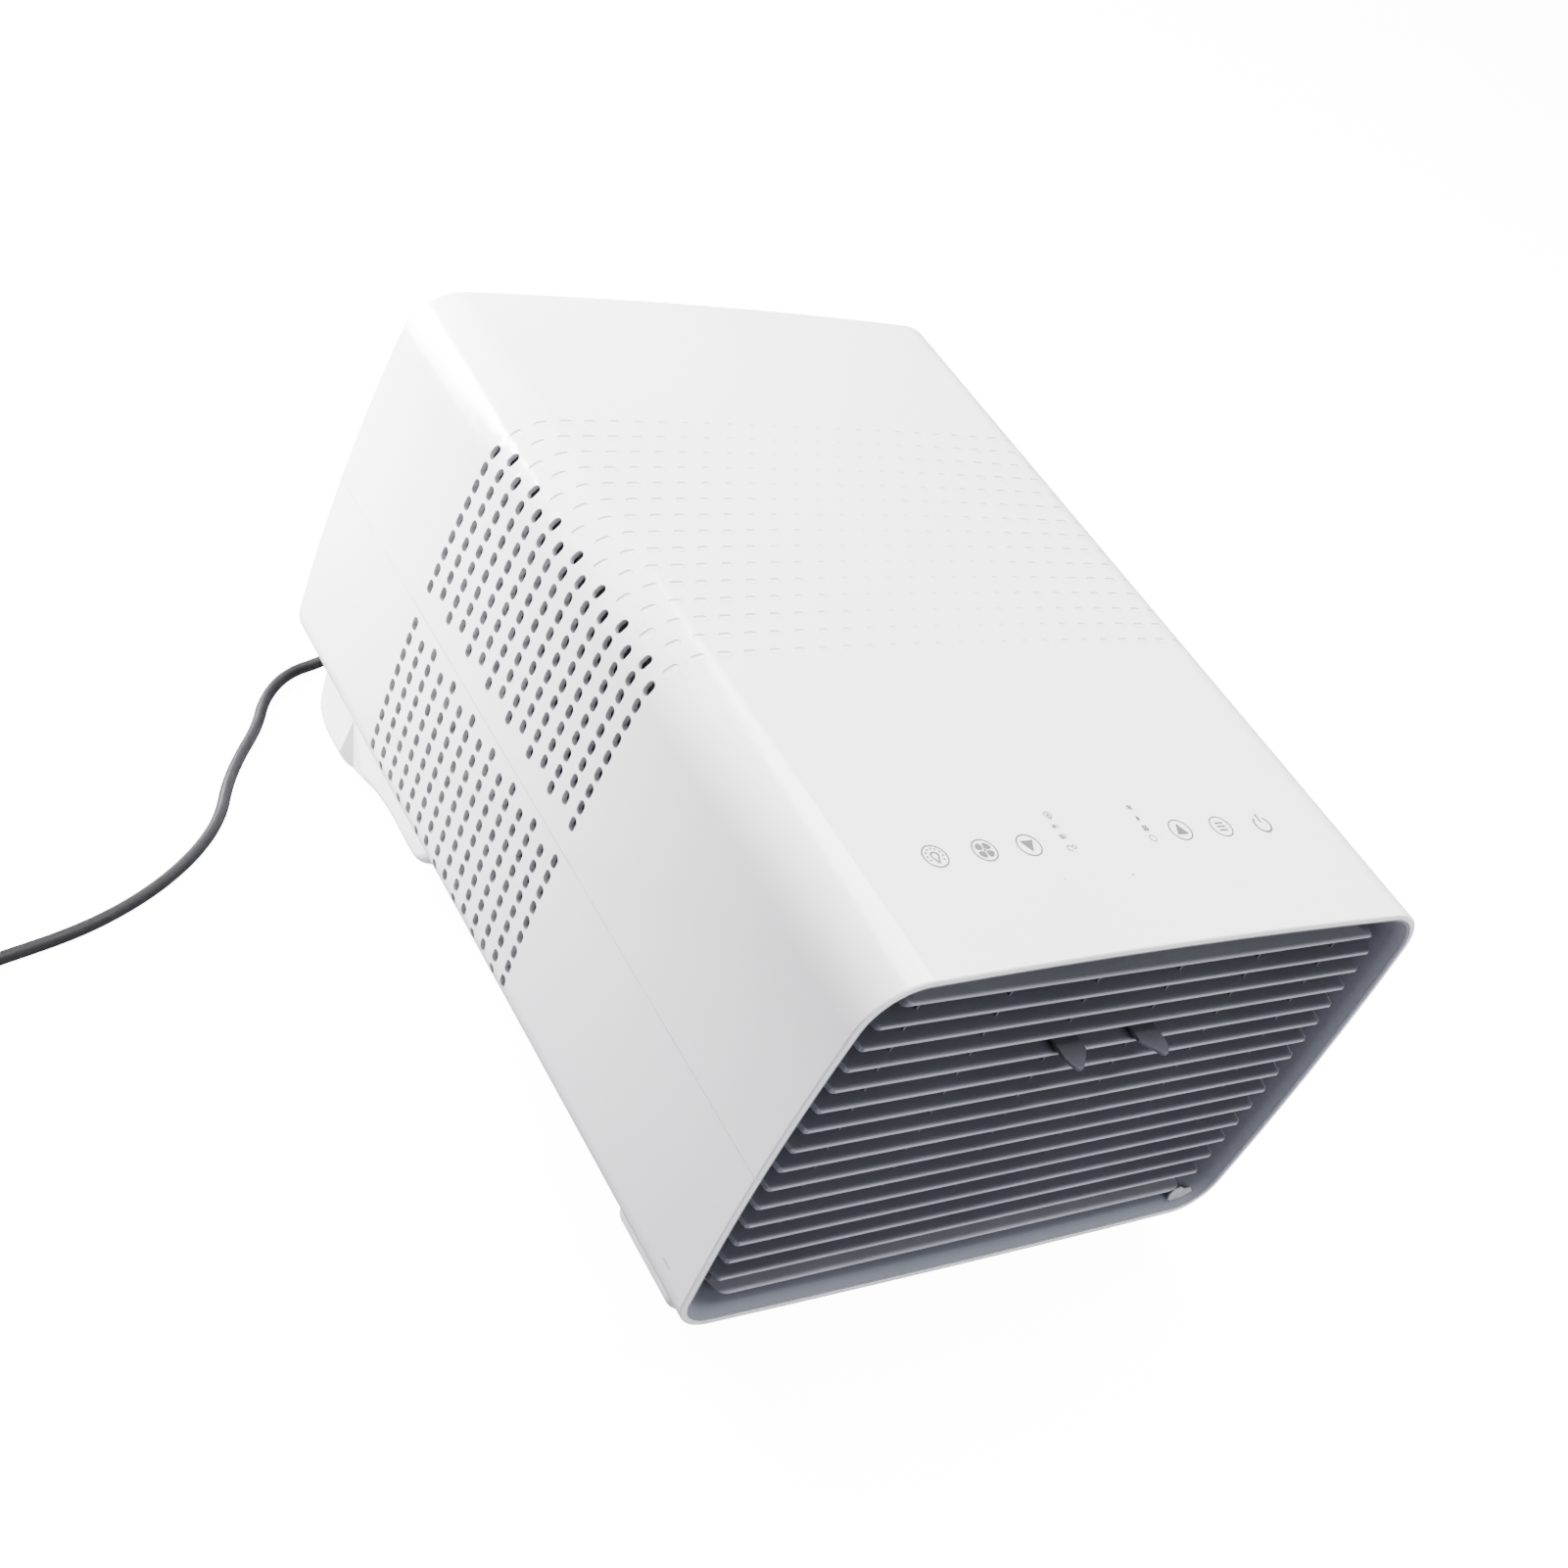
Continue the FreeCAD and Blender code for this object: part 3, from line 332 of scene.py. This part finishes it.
def dimple_depth(tree, place):
    """The blind dashes' depth, and how much painted shade their rear edges get, both from 0 to 1."""
    axis = axes(tree, place)
    across = maths(tree, "ABSOLUTE", in_mm(tree, axis["X"]))
    along = behind_rim(tree, place)
    height = in_mm(tree, axis["Z"])

    corner_x, corner_z = UPPER_CENTRE
    corner = maths(tree, "ARCTAN2", take(tree, across, corner_x), take(tree, height, corner_z))
    rounded = add(tree, times(tree, corner, UPPER_RADIUS), corner_x)
    reach = choose(tree, maths(tree, "GREATER_THAN", across, corner_x), across, rounded)

    line = maths(tree, "DIVIDE", take(tree, REAR_LINE, along), LINE_PITCH)
    index = maths(tree, "ROUND", line)
    signed = times(tree, take(tree, index, line), LINE_PITCH)
    odd = times(tree, maths(tree, "FRACT", maths(tree, "DIVIDE", index, 2.0)), 2.0)
    first = take(tree, DASH_START, times(tree, odd, DASH_PITCH / 2))
    count = maths(tree, "DIVIDE", take(tree, first, reach), DASH_PITCH)
    nearest = maths(tree, "ROUND", count)
    end = maths(tree, "ABSOLUTE", times(tree, take(tree, count, nearest), DASH_PITCH))

    spread = step(tree, reach, 0.0, DASH_GROWTH_END)
    half = add(tree, times(tree, spread, DASH_HALF[1]), DASH_HALF[0])
    radius = add(tree, times(tree, spread, DASH_RADIUS[1]), DASH_RADIUS[0])
    past = maths(tree, "MAXIMUM", take(tree, end, half), 0.0)
    away = maths(tree, "SQRT", add(tree, times(tree, past, past), times(tree, signed, signed)))
    inside = step(tree, take(tree, radius, away), -DASH_SOFTNESS, DASH_SOFTNESS)

    in_lines = times(tree, maths(tree, "GREATER_THAN", index, -0.5),
                     maths(tree, "LESS_THAN", index, LINE_COUNT - 0.5))
    on_top = times(tree, maths(tree, "GREATER_THAN", nearest, -0.5),
                   maths(tree, "GREATER_THAN", height, corner_z))
    shown = times(tree, inside, times(tree, in_lines, on_top))
    depth = times(tree, shown, add(tree, times(tree, spread, 0.6), 0.4))
    edge = take(tree, signed, take(tree, radius, 1.05))
    shade = times(tree, shown, step(tree, edge, -0.25, 0.15))
    return depth, times(tree, shade, add(tree, times(tree, spread, 0.45), 0.55))


def distance_from(tree, across, height, centre):
    """Height above a point of the cross-section, and distance from it."""
    dx = take(tree, across, centre[0])
    dz = take(tree, height, centre[1])
    return dz, maths(tree, "SQRT", add(tree, times(tree, dx, dx), times(tree, dz, dz)))


def inward(tree, place):
    """Depth in millimetres inside the sides' outer surface, and 1 where a point is at a side."""
    axis = axes(tree, place)
    across = maths(tree, "ABSOLUTE", in_mm(tree, axis["X"]))
    height = in_mm(tree, axis["Z"])
    depth = take(tree, SIDE_RADIUS, distance_from(tree, across, height, SIDE_CENTRE)[1])
    fillets = ((UPPER_CENTRE, UPPER_RADIUS, 1.0), (LOWER_CENTRE, LOWER_RADIUS, -1.0))
    for centre, radius, sign in fillets:
        dz, away = distance_from(tree, across, height, centre)
        past = maths(tree, "GREATER_THAN", times(tree, dz, sign), FILLET_START)
        depth = choose(tree, past, depth, take(tree, radius, away))
    return depth, maths(tree, "GREATER_THAN", across, UPPER_CENTRE[0])


SLOT_MIDDLE = 280.0                  # depth behind the rim of the middle of the slots
SLOT_REACH = 96.0
# The dent itself is not modelled; the shell's colour gets painted shade there.
DENT = (20.0, 54.0)                  # small dent low on the left side: behind the rim, and height
DENT_STRETCH = 0.06


def dent_shade_mask(tree, place):
    """1 where the shell gets painted shade for the small dent low on the left side; the dent is not
    modelled.
    """
    axis = axes(tree, place)
    aside = take(tree, behind_rim(tree, place), DENT[0])
    above = take(tree, in_mm(tree, axis["Z"]), DENT[1])
    far = add(tree, times(tree, aside, times(tree, aside, DENT_STRETCH)), times(tree, above, above))
    return times(tree, step(tree, far, 0.5, 1.2, 1.0, 0.0), maths(tree, "LESS_THAN", axis["X"], 0.0))


def shell_material(name, dimpled):
    """Glossy white moulding with painted shade on the slot walls, darker deeper in, and blind dashes on
    the upper shell with painted shade along their rear edges.
    """
    made, tree, output = material(name)
    place = object_place(tree)
    cloudy = noise(tree, place, 5.0, detail=2.0)
    fine = noise(tree, place, 700.0, detail=2.0)
    wave = noise(tree, place, 22.0, detail=1.0)
    tone = mix_colour(tree, step(tree, cloudy, 0.3, 0.7), (0.80, 0.80, 0.805, 1), (0.83, 0.83, 0.828, 1))
    # Painted shade of the small dent low on the left side.
    tone = mix_colour(tree, times(tree, dent_shade_mask(tree, place), 0.5), tone, (0.25, 0.24, 0.27, 1))

    depth, at_side = inward(tree, place)
    from_middle = maths(tree, "ABSOLUTE", take(tree, behind_rim(tree, place), SLOT_MIDDLE))
    in_field = maths(tree, "LESS_THAN", from_middle, SLOT_REACH)
    # Painted shade inside the slots: grey walls, darker deeper below the outer surface.
    in_slot = times(tree, step(tree, depth, 0.06, 0.25), times(tree, at_side, in_field))
    slot_wall_shade = mix_colour(tree, step(tree, depth, 0.2, 3.0), (0.42, 0.41, 0.42, 1), (0.30, 0.30, 0.31, 1))
    tone = mix_colour(tree, in_slot, tone, slot_wall_shade)

    mixed = add(tree, times(tree, cloudy, 0.7), times(tree, fine, 0.3))
    normal = bump(tree, fine, 0.3, 0.00001, bump(tree, wave, 0.5, 0.0003))
    if dimpled:
        dash, shade = dimple_depth(tree, place)
        normal = bump(tree, dash, 1.0, 0.0007, normal, invert=True)
        # Painted shade along the blind dashes' rear edges.
        tone = mix_colour(tree, times(tree, shade, 0.7), tone, (0.22, 0.22, 0.23, 1))
    finish_surface(tree, output, {
        "Base Color": tone, "Roughness": step(tree, mixed, 0.3, 0.7, 0.13, 0.19),
        "Specular IOR Level": 0.5, "Coat Weight": 0.25, "Coat Roughness": 0.05, "Normal": normal})
    return made


THREAD_PITCH = 0.0011                # metres, like all places that a material reads
FIN_PITCH = 0.0018


def mesh_material(name):
    """Woven filter mesh: two crossing sets of fine threads."""
    made, tree, output = material(name)
    place = object_place(tree)
    axis = axes(tree, place)
    threads = []
    for direction in ("Y", "Z"):
        wave = maths(tree, "SINE", times(tree, axis[direction], 2 * math.pi / THREAD_PITCH))
        threads.append(step(tree, wave, 0.1, 0.8))
    weave = maths(tree, "MAXIMUM", threads[0], threads[1])
    dust = step(tree, noise(tree, place, 30.0), 0.3, 0.7)
    thread = mix_colour(tree, dust, (0.075, 0.075, 0.08, 1), (0.10, 0.10, 0.105, 1))
    finish_surface(tree, output, {
        "Base Color": mix_colour(tree, weave, (0.015, 0.015, 0.017, 1), thread),
        "Roughness": 0.8, "Normal": bump(tree, weave, 0.8, 0.0002)})
    return made


def fin_stack_material(name):
    """Heat exchanger face: thin bare fins, side by side."""
    made, tree, output = material(name)
    place = object_place(tree)
    bent = add(tree, axes(tree, place)["X"], times(tree, noise(tree, place, 40.0), 0.0012))
    wave = maths(tree, "SINE", times(tree, bent, 2 * math.pi / FIN_PITCH))
    fin = step(tree, wave, -0.2, 0.7)
    finish_surface(tree, output, {
        "Base Color": mix_colour(tree, fin, (0.05, 0.05, 0.055, 1), (0.62, 0.63, 0.64, 1)),
        "Metallic": 0.9, "Roughness": 0.38, "Normal": bump(tree, fin, 1.0, 0.0008)})
    return made


FIN_FRONT = 4.4                      # depth behind the rim of the fins' front edges
FIN_END = 18.3                       # depth inside the outer surface of the fins' ends, at their front
FIN_END_TAPER = 0.237                # the ends come closer to the surface by this, per depth


def fin_material(name, colour, highlight_colour):
    """Grille moulding: dark satin fins with a painted highlight on their front edges and end edges, and
    painted shade deeper behind the rim.
    """
    made, tree, output = material(name)
    place = object_place(tree)
    along = behind_rim(tree, place)
    cloudy = noise(tree, place, 12.0)
    fine = noise(tree, place, 1300.0, detail=2.0)
    end = take(tree, FIN_END, times(tree, take(tree, along, FIN_FRONT), FIN_END_TAPER))
    beside = take(tree, inward(tree, place)[0], end)
    # Painted highlight along the fins' front edges and end edges.
    end_edge = times(tree, step(tree, beside, 0.5, 1.2, 0.5, 0.0), maths(tree, "LESS_THAN", along, 19.0))
    highlit_edges = maths(tree, "MAXIMUM", step(tree, along, 4.5, 4.9, 1.0, 0.0), end_edge)
    tone = mix_colour(tree, step(tree, cloudy, 0.3, 0.7), rgba(colour, 0.94), rgba(colour, 1.04))
    # Painted shade: the fins are darker deeper behind the rim, where the fin above shades them.
    tone = mix_colour(tree, step(tree, along, 8.0, 20.0), tone, rgba(colour, 0.6))
    painted_highlight = times(tree, highlit_edges, step(tree, cloudy, 0.1, 0.8, 0.85, 1.0))
    finish_surface(tree, output, {
        "Base Color": mix_colour(tree, painted_highlight, tone, rgba(highlight_colour)),
        "Roughness": step(tree, cloudy, 0.3, 0.7, 0.36, 0.46),
        "Specular IOR Level": 0.3, "Normal": bump(tree, fine, 0.6, 0.00004)})
    return made


def bezel_material(name):
    """Funnel round the outlet, with painted shade: light at the rim, darker towards the fins."""
    made, tree, output = material(name)
    place = object_place(tree)
    along = behind_rim(tree, place)
    cloudy = step(tree, noise(tree, place, 9.0), 0.3, 0.7)
    fine = noise(tree, place, 1300.0, detail=2.0)
    # Painted shade: lighter at the rim, darker deeper in towards the fins.
    tone = mix_colour(tree, step(tree, along, 1.0, 8.0), (0.175, 0.188, 0.22, 1), (0.100, 0.109, 0.134, 1))
    tone = mix_colour(tree, step(tree, along, 5.0, 15.0), tone, (0.066, 0.072, 0.089, 1))
    tone = mix_colour(tree, times(tree, cloudy, 0.08), tone, (0.05, 0.055, 0.07, 1))
    rough = add(tree, times(tree, cloudy, 0.1), 0.32)
    finish_surface(tree, output, {
        "Base Color": tone, "Roughness": rough,
        "Specular IOR Level": 0.3, "Normal": bump(tree, fine, 0.6, 0.00004)})
    return made


def board_material(name):
    """Circuit board: green lacquer with copper tracks under it."""
    made, tree, output = material(name)
    cells = node(tree, "TexBrick", {
        "Vector": object_place(tree), "Scale": 60.0, "Mortar Size": 0.06, "Color1": (0.015, 0.12, 0.05, 1),
        "Color2": (0.02, 0.15, 0.06, 1), "Mortar": (0.05, 0.24, 0.10, 1)}).outputs
    finish_surface(tree, output, {
        "Base Color": cells["Color"], "Roughness": 0.35, "Normal": bump(tree, cells["Fac"], 0.5, 0.0001)})
    return made


white = shell_material("white_shell", False)
white_top = shell_material("white_shell_dimpled", True)
bezel_grey = bezel_material("bezel_grey")
# The second colour is the painted highlight on the fins' edges.
grille_grey = fin_material("grille_grey", (0.112, 0.118, 0.142), (0.30, 0.31, 0.345))
vane_grey = surface("vane_grey", (0.060, 0.064, 0.076), rough=(0.42, 0.55), grain=(1300.0, 0.08),
                    patch=(15.0, 0.06), specular=0.3)
inner_black = surface("inner_black", (0.006, 0.006, 0.007), rough=(0.5, 0.65), grain=(900.0, 0.1),
                      patch=(10.0, 0.1), specular=0.1)
fan_grey = surface("fan_grey", (0.02, 0.021, 0.023), rough=(0.4, 0.5), grain=(900.0, 0.06),
                   patch=(10.0, 0.06), specular=0.15)
motor_paint = surface("motor_paint", (0.08, 0.08, 0.085), rough=(0.35, 0.5), grain=(600.0, 0.1),
                      patch=(20.0, 0.08), coat=0.2)
pan_steel = surface("pan_steel", (0.58, 0.59, 0.60), rough=(0.28, 0.5), grain=(500.0, 0.2),
                    patch=(50.0, 0.16), metallic=1.0)
tray_white = surface("tray_white", (0.62, 0.62, 0.60), rough=(0.4, 0.55), grain=(900.0, 0.05),
                     patch=(16.0, 0.06))
compressor_black = surface("compressor_black", (0.012, 0.012, 0.013), rough=(0.22, 0.38),
                           grain=(260.0, 0.15), patch=(20.0, 0.1), coat=0.5)
copper = surface("copper", (0.72, 0.36, 0.22), rough=(0.22, 0.42), grain=(400.0, 0.2),
                 patch=(45.0, 0.2), metallic=1.0)
rubber = surface("rubber", (0.02, 0.02, 0.02), rough=(0.65, 0.8), grain=(800.0, 0.2), patch=(30.0, 0.15))
screw_zinc = surface("screw_zinc", (0.6, 0.6, 0.62), rough=(0.25, 0.4), grain=(1500.0, 0.2),
                     patch=(200.0, 0.1), metallic=1.0)
cord_grey = surface("cord_grey", (0.009, 0.0085, 0.0095), rough=(0.42, 0.58), grain=(1200.0, 0.12),
                    patch=(40.0, 0.1), specular=0.12, grain_depth=0.00006)
filter_mesh = mesh_material("filter_mesh")
fin_stack = fin_stack_material("fin_stack")
board_green = board_material("board_green")
tab_grey = surface("tab_grey", (0.36, 0.37, 0.39), rough=(0.3, 0.45), grain=(900.0, 0.1),
                   patch=(120.0, 0.25), specular=0.3)
print_grey = surface("print_grey", (0.082, 0.085, 0.085), rough=(0.45, 0.55), grain=(1500.0, 0.1),
                     patch=(60.0, 0.08), specular=0.3)

PAINTS = {
    "upper_shell": white_top, "lower_shell": white, "rear_panel": white, "foot_pads": rubber,
    "front_bezel": bezel_grey, "louver_grille": grille_grey, "vane_frame": inner_black,
    "link_bar_left": vane_grey, "link_bar_right": vane_grey,
    "supply_shroud": inner_black, "exhaust_shroud": inner_black, "supply_impeller": fan_grey,
    "exhaust_impeller": fan_grey, "supply_motor": motor_paint, "exhaust_motor": motor_paint,
    "base_pan": pan_steel, "drip_tray": tray_white, "evaporator": fin_stack, "condenser": fin_stack,
    "compressor": compressor_black, "compressor_grommets": rubber, "refrigerant_pipes": copper,
    "panel_screws": screw_zinc, "left_filter": filter_mesh, "right_filter": filter_mesh,
    "control_board": board_green, "touch_board": board_green, "cord_outlet": white,
    "strain_relief": cord_grey, "mains_plug": cord_grey,
    "mains_cord": cord_grey, "cord_coil": cord_grey,
}
for side in ("left", "right"):
    for place in ("outer", "middle", "inner"):
        PAINTS["vane_" + side + "_" + place] = vane_grey
for name, made in PAINTS.items():
    paint(name, made)
paint(lead, cord_grey)


# ---------------------------------------------------------------- touch icons
PRINT_LIFT = 0.12             # above the top surface
KEY_ROW = 64.5                # distance of the touch keys behind the rim
KEY_RADIUS = 6.35
KEY_LINE = 0.8
LAMP_X, FAN_X, DOWN_X, UP_X, MENU_X, POWER_X = -104, -76, -50, 46, 74, 103
LEFT_STATE_X, RIGHT_STATE_X = -27, 25


def top_height(x):
    """Height of the top surface, in millimetres, at a distance from the middle."""
    return TOP_Z + TOP_CROWN - x * x / (2 * CROWN_RADIUS)


class Print:
    """Flat printed shapes that lie on the top surface."""

    def __init__(self):
        self.points = []
        self.faces = []

    def add(self, outline):
        start = len(self.points)
        for x, y in outline:
            self.points.append(mm(x, y, top_height(x) + PRINT_LIFT))
        self.faces.append(tuple(range(start, start + len(outline))))

    def ray(self, x, y, angle, reach):
        """The point at this bearing and distance from another."""
        return x + reach * math.cos(angle), y + reach * math.sin(angle)

    def disc(self, x, y, radius, count=20):
        self.add([self.ray(x, y, 2 * math.pi * i / count, radius) for i in range(count)])

    def bar(self, x0, y0, x1, y1, width):
        length = math.hypot(x1 - x0, y1 - y0)
        ox = (y1 - y0) / length * width / 2
        oy = -(x1 - x0) / length * width / 2
        self.add([(x0 - ox, y0 - oy), (x0 + ox, y0 + oy), (x1 + ox, y1 + oy), (x1 - ox, y1 - oy)])

    def arc(self, x, y, radius, width, start=0.0, end=360.0, count=48):
        """Ring or part of one, from one bearing to another, in degrees."""
        inner, outer = radius - width / 2, radius + width / 2
        for i in range(count):
            a = math.radians(start + (end - start) * i / count)
            b = math.radians(start + (end - start) * (i + 1) / count)
            self.add([self.ray(x, y, a, inner), self.ray(x, y, a, outer),
                      self.ray(x, y, b, outer), self.ray(x, y, b, inner)])

    def blade(self, x, y, angle, reach, width):
        """Fan blade: an egg shape from near the middle outwards."""
        outline = []
        for i in range(18):
            a = 2 * math.pi * i / 18
            u = reach * (0.58 + 0.38 * math.cos(a))
            v = width * (0.5 + 0.18 * math.cos(a)) * math.sin(a)
            outline.append((x + u * math.cos(angle) - v * math.sin(angle),
                            y + u * math.sin(angle) + v * math.cos(angle)))
        self.add(outline)

    def fan(self, x, y, reach):
        """Fan wheel of four blades."""
        for k in range(4):
            self.blade(x, y, math.radians(45 + 90 * k), reach, reach * 0.85)
        self.disc(x, y, reach * 0.14)

    def triangle(self, x, y, size, up):
        sign = 1 if up else -1
        tip, base = y + sign * size * 0.62, y - sign * size * 0.42
        self.add([(x, tip), (x - size * 0.56, base), (x + size * 0.56, base)][::sign])

    def drop(self, x, y, size):
        outline = [(x, y + size)]
        for i in range(11):
            a = math.radians(30 - 24 * i)
            outline.append((x + size * 0.55 * math.cos(a), y - size * 0.3 + size * 0.55 * math.sin(a)))
        self.add(outline)

    def flake(self, x, y, size, width):
        """Snowflake: three crossed bars with a pair of twigs on each end."""
        for k in range(3):
            a = math.radians(30 + 60 * k)
            dx, dy = size * math.cos(a), size * math.sin(a)
            self.bar(x - dx, y - dy, x + dx, y + dy, width)
            for sign in (-1, 1):
                for turn in (-1, 1):
                    ex, ey = x + sign * dx * 0.62, y + sign * dy * 0.62
                    tip = self.ray(ex, ey, a + math.radians(42) * turn, sign * size * 0.36)
                    self.bar(ex, ey, *tip, width * 0.8)


def make_icons():
    """The row of touch keys, the two columns of small state icons and the two dots."""
    row = KEY_ROW
    mark = Print()
    for x in (LAMP_X, FAN_X, DOWN_X, UP_X, MENU_X):
        mark.arc(x, row, KEY_RADIUS, KEY_LINE)

    mark.arc(LAMP_X, row + 0.3, 2.0, 0.9, -55, 235, 30)
    mark.bar(LAMP_X - 1.05, row - 1.2, LAMP_X - 0.8, row - 2.6, 0.8)
    mark.bar(LAMP_X + 1.05, row - 1.2, LAMP_X + 0.8, row - 2.6, 0.8)
    mark.bar(LAMP_X - 1.1, row - 2.9, LAMP_X + 1.1, row - 2.9, 0.8)
    mark.bar(LAMP_X - 0.7, row - 3.9, LAMP_X + 0.7, row - 3.9, 0.8)
    for k in range(9):
        mark.disc(*mark.ray(LAMP_X, row + 0.2, math.radians(-32 + 30.5 * k), 4.3), 0.6, 12)
    mark.fan(FAN_X, row, 5.0)
    mark.triangle(DOWN_X, row, 6.8, False)
    mark.triangle(UP_X, row, 6.8, True)
    for k in (-1, 0, 1):
        mark.bar(MENU_X - 2.8, row + 2.3 * k, MENU_X + 2.8, row + 2.3 * k, 1.0)
    mark.arc(POWER_X, row - 0.6, 5.0, 1.1, 125, 415, 44)
    mark.bar(POWER_X, row + 0.6, POWER_X, row + 6.4, 1.1)

    x = LEFT_STATE_X
    mark.arc(x, 81, 1.9, 0.6, count=28)
    mark.drop(x, 81, 1.3)
    mark.bar(x, 79.0, x, 77.7, 0.6)
    mark.flake(x - 1.2, 73.8, 1.4, 0.5)
    mark.bar(x + 1.1, 72.7, x + 1.1, 74.9, 0.6)
    mark.fan(x - 1.1, 67.3, 1.7)
    mark.bar(x + 1.2, 66.2, x + 1.2, 68.4, 0.6)
    mark.arc(x - 1.3, 60.2, 1.5, 0.6, 20, 300, 20)
    mark.arc(x + 1.6, 60.6, 1.1, 0.5, count=18)

    x = RIGHT_STATE_X
    mark.flake(x, 81, 1.9, 0.5)
    mark.drop(x, 74, 2.0)
    mark.fan(x, 67.5, 2.1)
    mark.arc(x, 61, 1.9, 0.55, count=28)

    mark.disc(-44, 43, 0.5, 14)
    mark.disc(-4, 41, 0.6, 14)
    icons = add_mesh("touch_icons", mark.points, mark.faces)
    paint(icons, print_grey)
    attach(icons, "housing")


make_icons()


# ---------------------------------------------------------------- small tab beside the lowest fin
TAB_OUTLINE = [(149.5, 34.6), (157.0, 35.6), (163.2, 39.8), (160.2, 42.6), (155.5, 42.8), (151.5, 45.2),
               (146.8, 43.6), (145.6, 40.0), (147.0, 36.2)]
TAB_FRONT = 3.6
TAB_BACK = 4.8
TAB_ROUNDING = 0.35


def make_tab():
    """Thin light tab in the outlet's lower right corner."""
    points = [mm(x, y, z) for y in (TAB_FRONT, TAB_BACK) for x, z in TAB_OUTLINE]
    count = len(TAB_OUTLINE)
    faces = [tuple(range(count)), tuple(range(2 * count - 1, count - 1, -1))]
    for i in range(count):
        j = (i + 1) % count
        faces.append((i, i + count, j + count, j))
    tab = add_mesh("corner_tab", points, faces)
    rounding = tab.modifiers.new("rounding", "BEVEL")
    rounding.width = TAB_ROUNDING * MM
    rounding.segments = 3
    paint(tab, tab_grey)
    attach(tab, "housing")


make_tab()


# ---------------------------------------------------------------- floor and light
# The camera sees the floor and the surroundings over-exposed, as in a studio picture. The light that
# bounces off them to the object is much dimmer.
WHITE_GLOW = 13.0
SURROUNDINGS_COLOUR = (0.96, 0.93, 1.0, 1)
SURROUNDINGS_LIGHT = 0.32
FLOOR_HALF = 30.0             # metres


def floor_material():
    """White paper floor."""
    made, tree, output = material("floor_paper")
    tone = noise(tree, object_place(tree), 3.0)
    paper = mix_colour(tree, tone, (0.90, 0.90, 0.90, 1), (0.93, 0.93, 0.93, 1))
    matt = node(tree, "BsdfDiffuse", {"Color": paper})
    dim = node(tree, "BsdfDiffuse", {"Color": (0.27, 0.255, 0.29, 1.0)})
    glow = node(tree, "Emission", {"Color": (1.0, 1.0, 1.0, 1.0), "Strength": WHITE_GLOW})
    bright = node(tree, "AddShader")
    tree.links.new(matt.outputs[0], bright.inputs[0])
    tree.links.new(glow.outputs[0], bright.inputs[1])
    link_for_camera(tree, output, dim, bright)
    return made


def make_floor():
    """Pale studio floor."""
    corners = [(-FLOOR_HALF, -FLOOR_HALF, 0), (FLOOR_HALF, -FLOOR_HALF, 0),
               (FLOOR_HALF, FLOOR_HALF, 0), (-FLOOR_HALF, FLOOR_HALF, 0)]
    floor = add_mesh("floor", corners, [(0, 1, 2, 3)])
    paint(floor, floor_material())


def area_light(name, place, aim, size, power, colour=(1, 1, 1), spread=180.0):
    """Soft rectangular light; place, aim and size in metres in the scene's frame, spread in degrees."""
    data = bpy.data.lights.new(name, "AREA")
    data.shape = "RECTANGLE"
    data.size, data.size_y = size
    data.energy = power
    data.color = colour
    data.spread = math.radians(spread)
    light = add_object(name, data)
    light.location = place
    light.rotation_euler = (Vector(aim) - Vector(place)).to_track_quat("-Z", "Y").to_euler()


def make_world():
    """Even white surroundings."""
    world = bpy.data.worlds.new("world")
    world.use_nodes = True
    tree = world.node_tree
    tree.nodes.clear()
    output = tree.nodes.new("ShaderNodeOutputWorld")
    soft = node(tree, "Background", {"Color": SURROUNDINGS_COLOUR, "Strength": SURROUNDINGS_LIGHT})
    white_out = node(tree, "Background", {"Color": (1.0, 1.0, 1.0, 1), "Strength": WHITE_GLOW})
    link_for_camera(tree, output, soft, white_out)
    bpy.context.scene.world = world


make_floor()
make_world()
area_light("top_light", (0.50, 0.35, 2.2), (0.0, 0.05, 0.2), (1.8, 1.9), 268)
area_light("rear_light", (-0.40, 0.62, 0.30), (-0.17, 0.30, 0.15), (0.35, 0.4), 12.5, (0.98, 0.98, 1.0),
           spread=75.0)
area_light("front_light", (0.3, -2.2, 0.9), (0.0, -0.2, 0.12), (1.6, 1.2), 48)
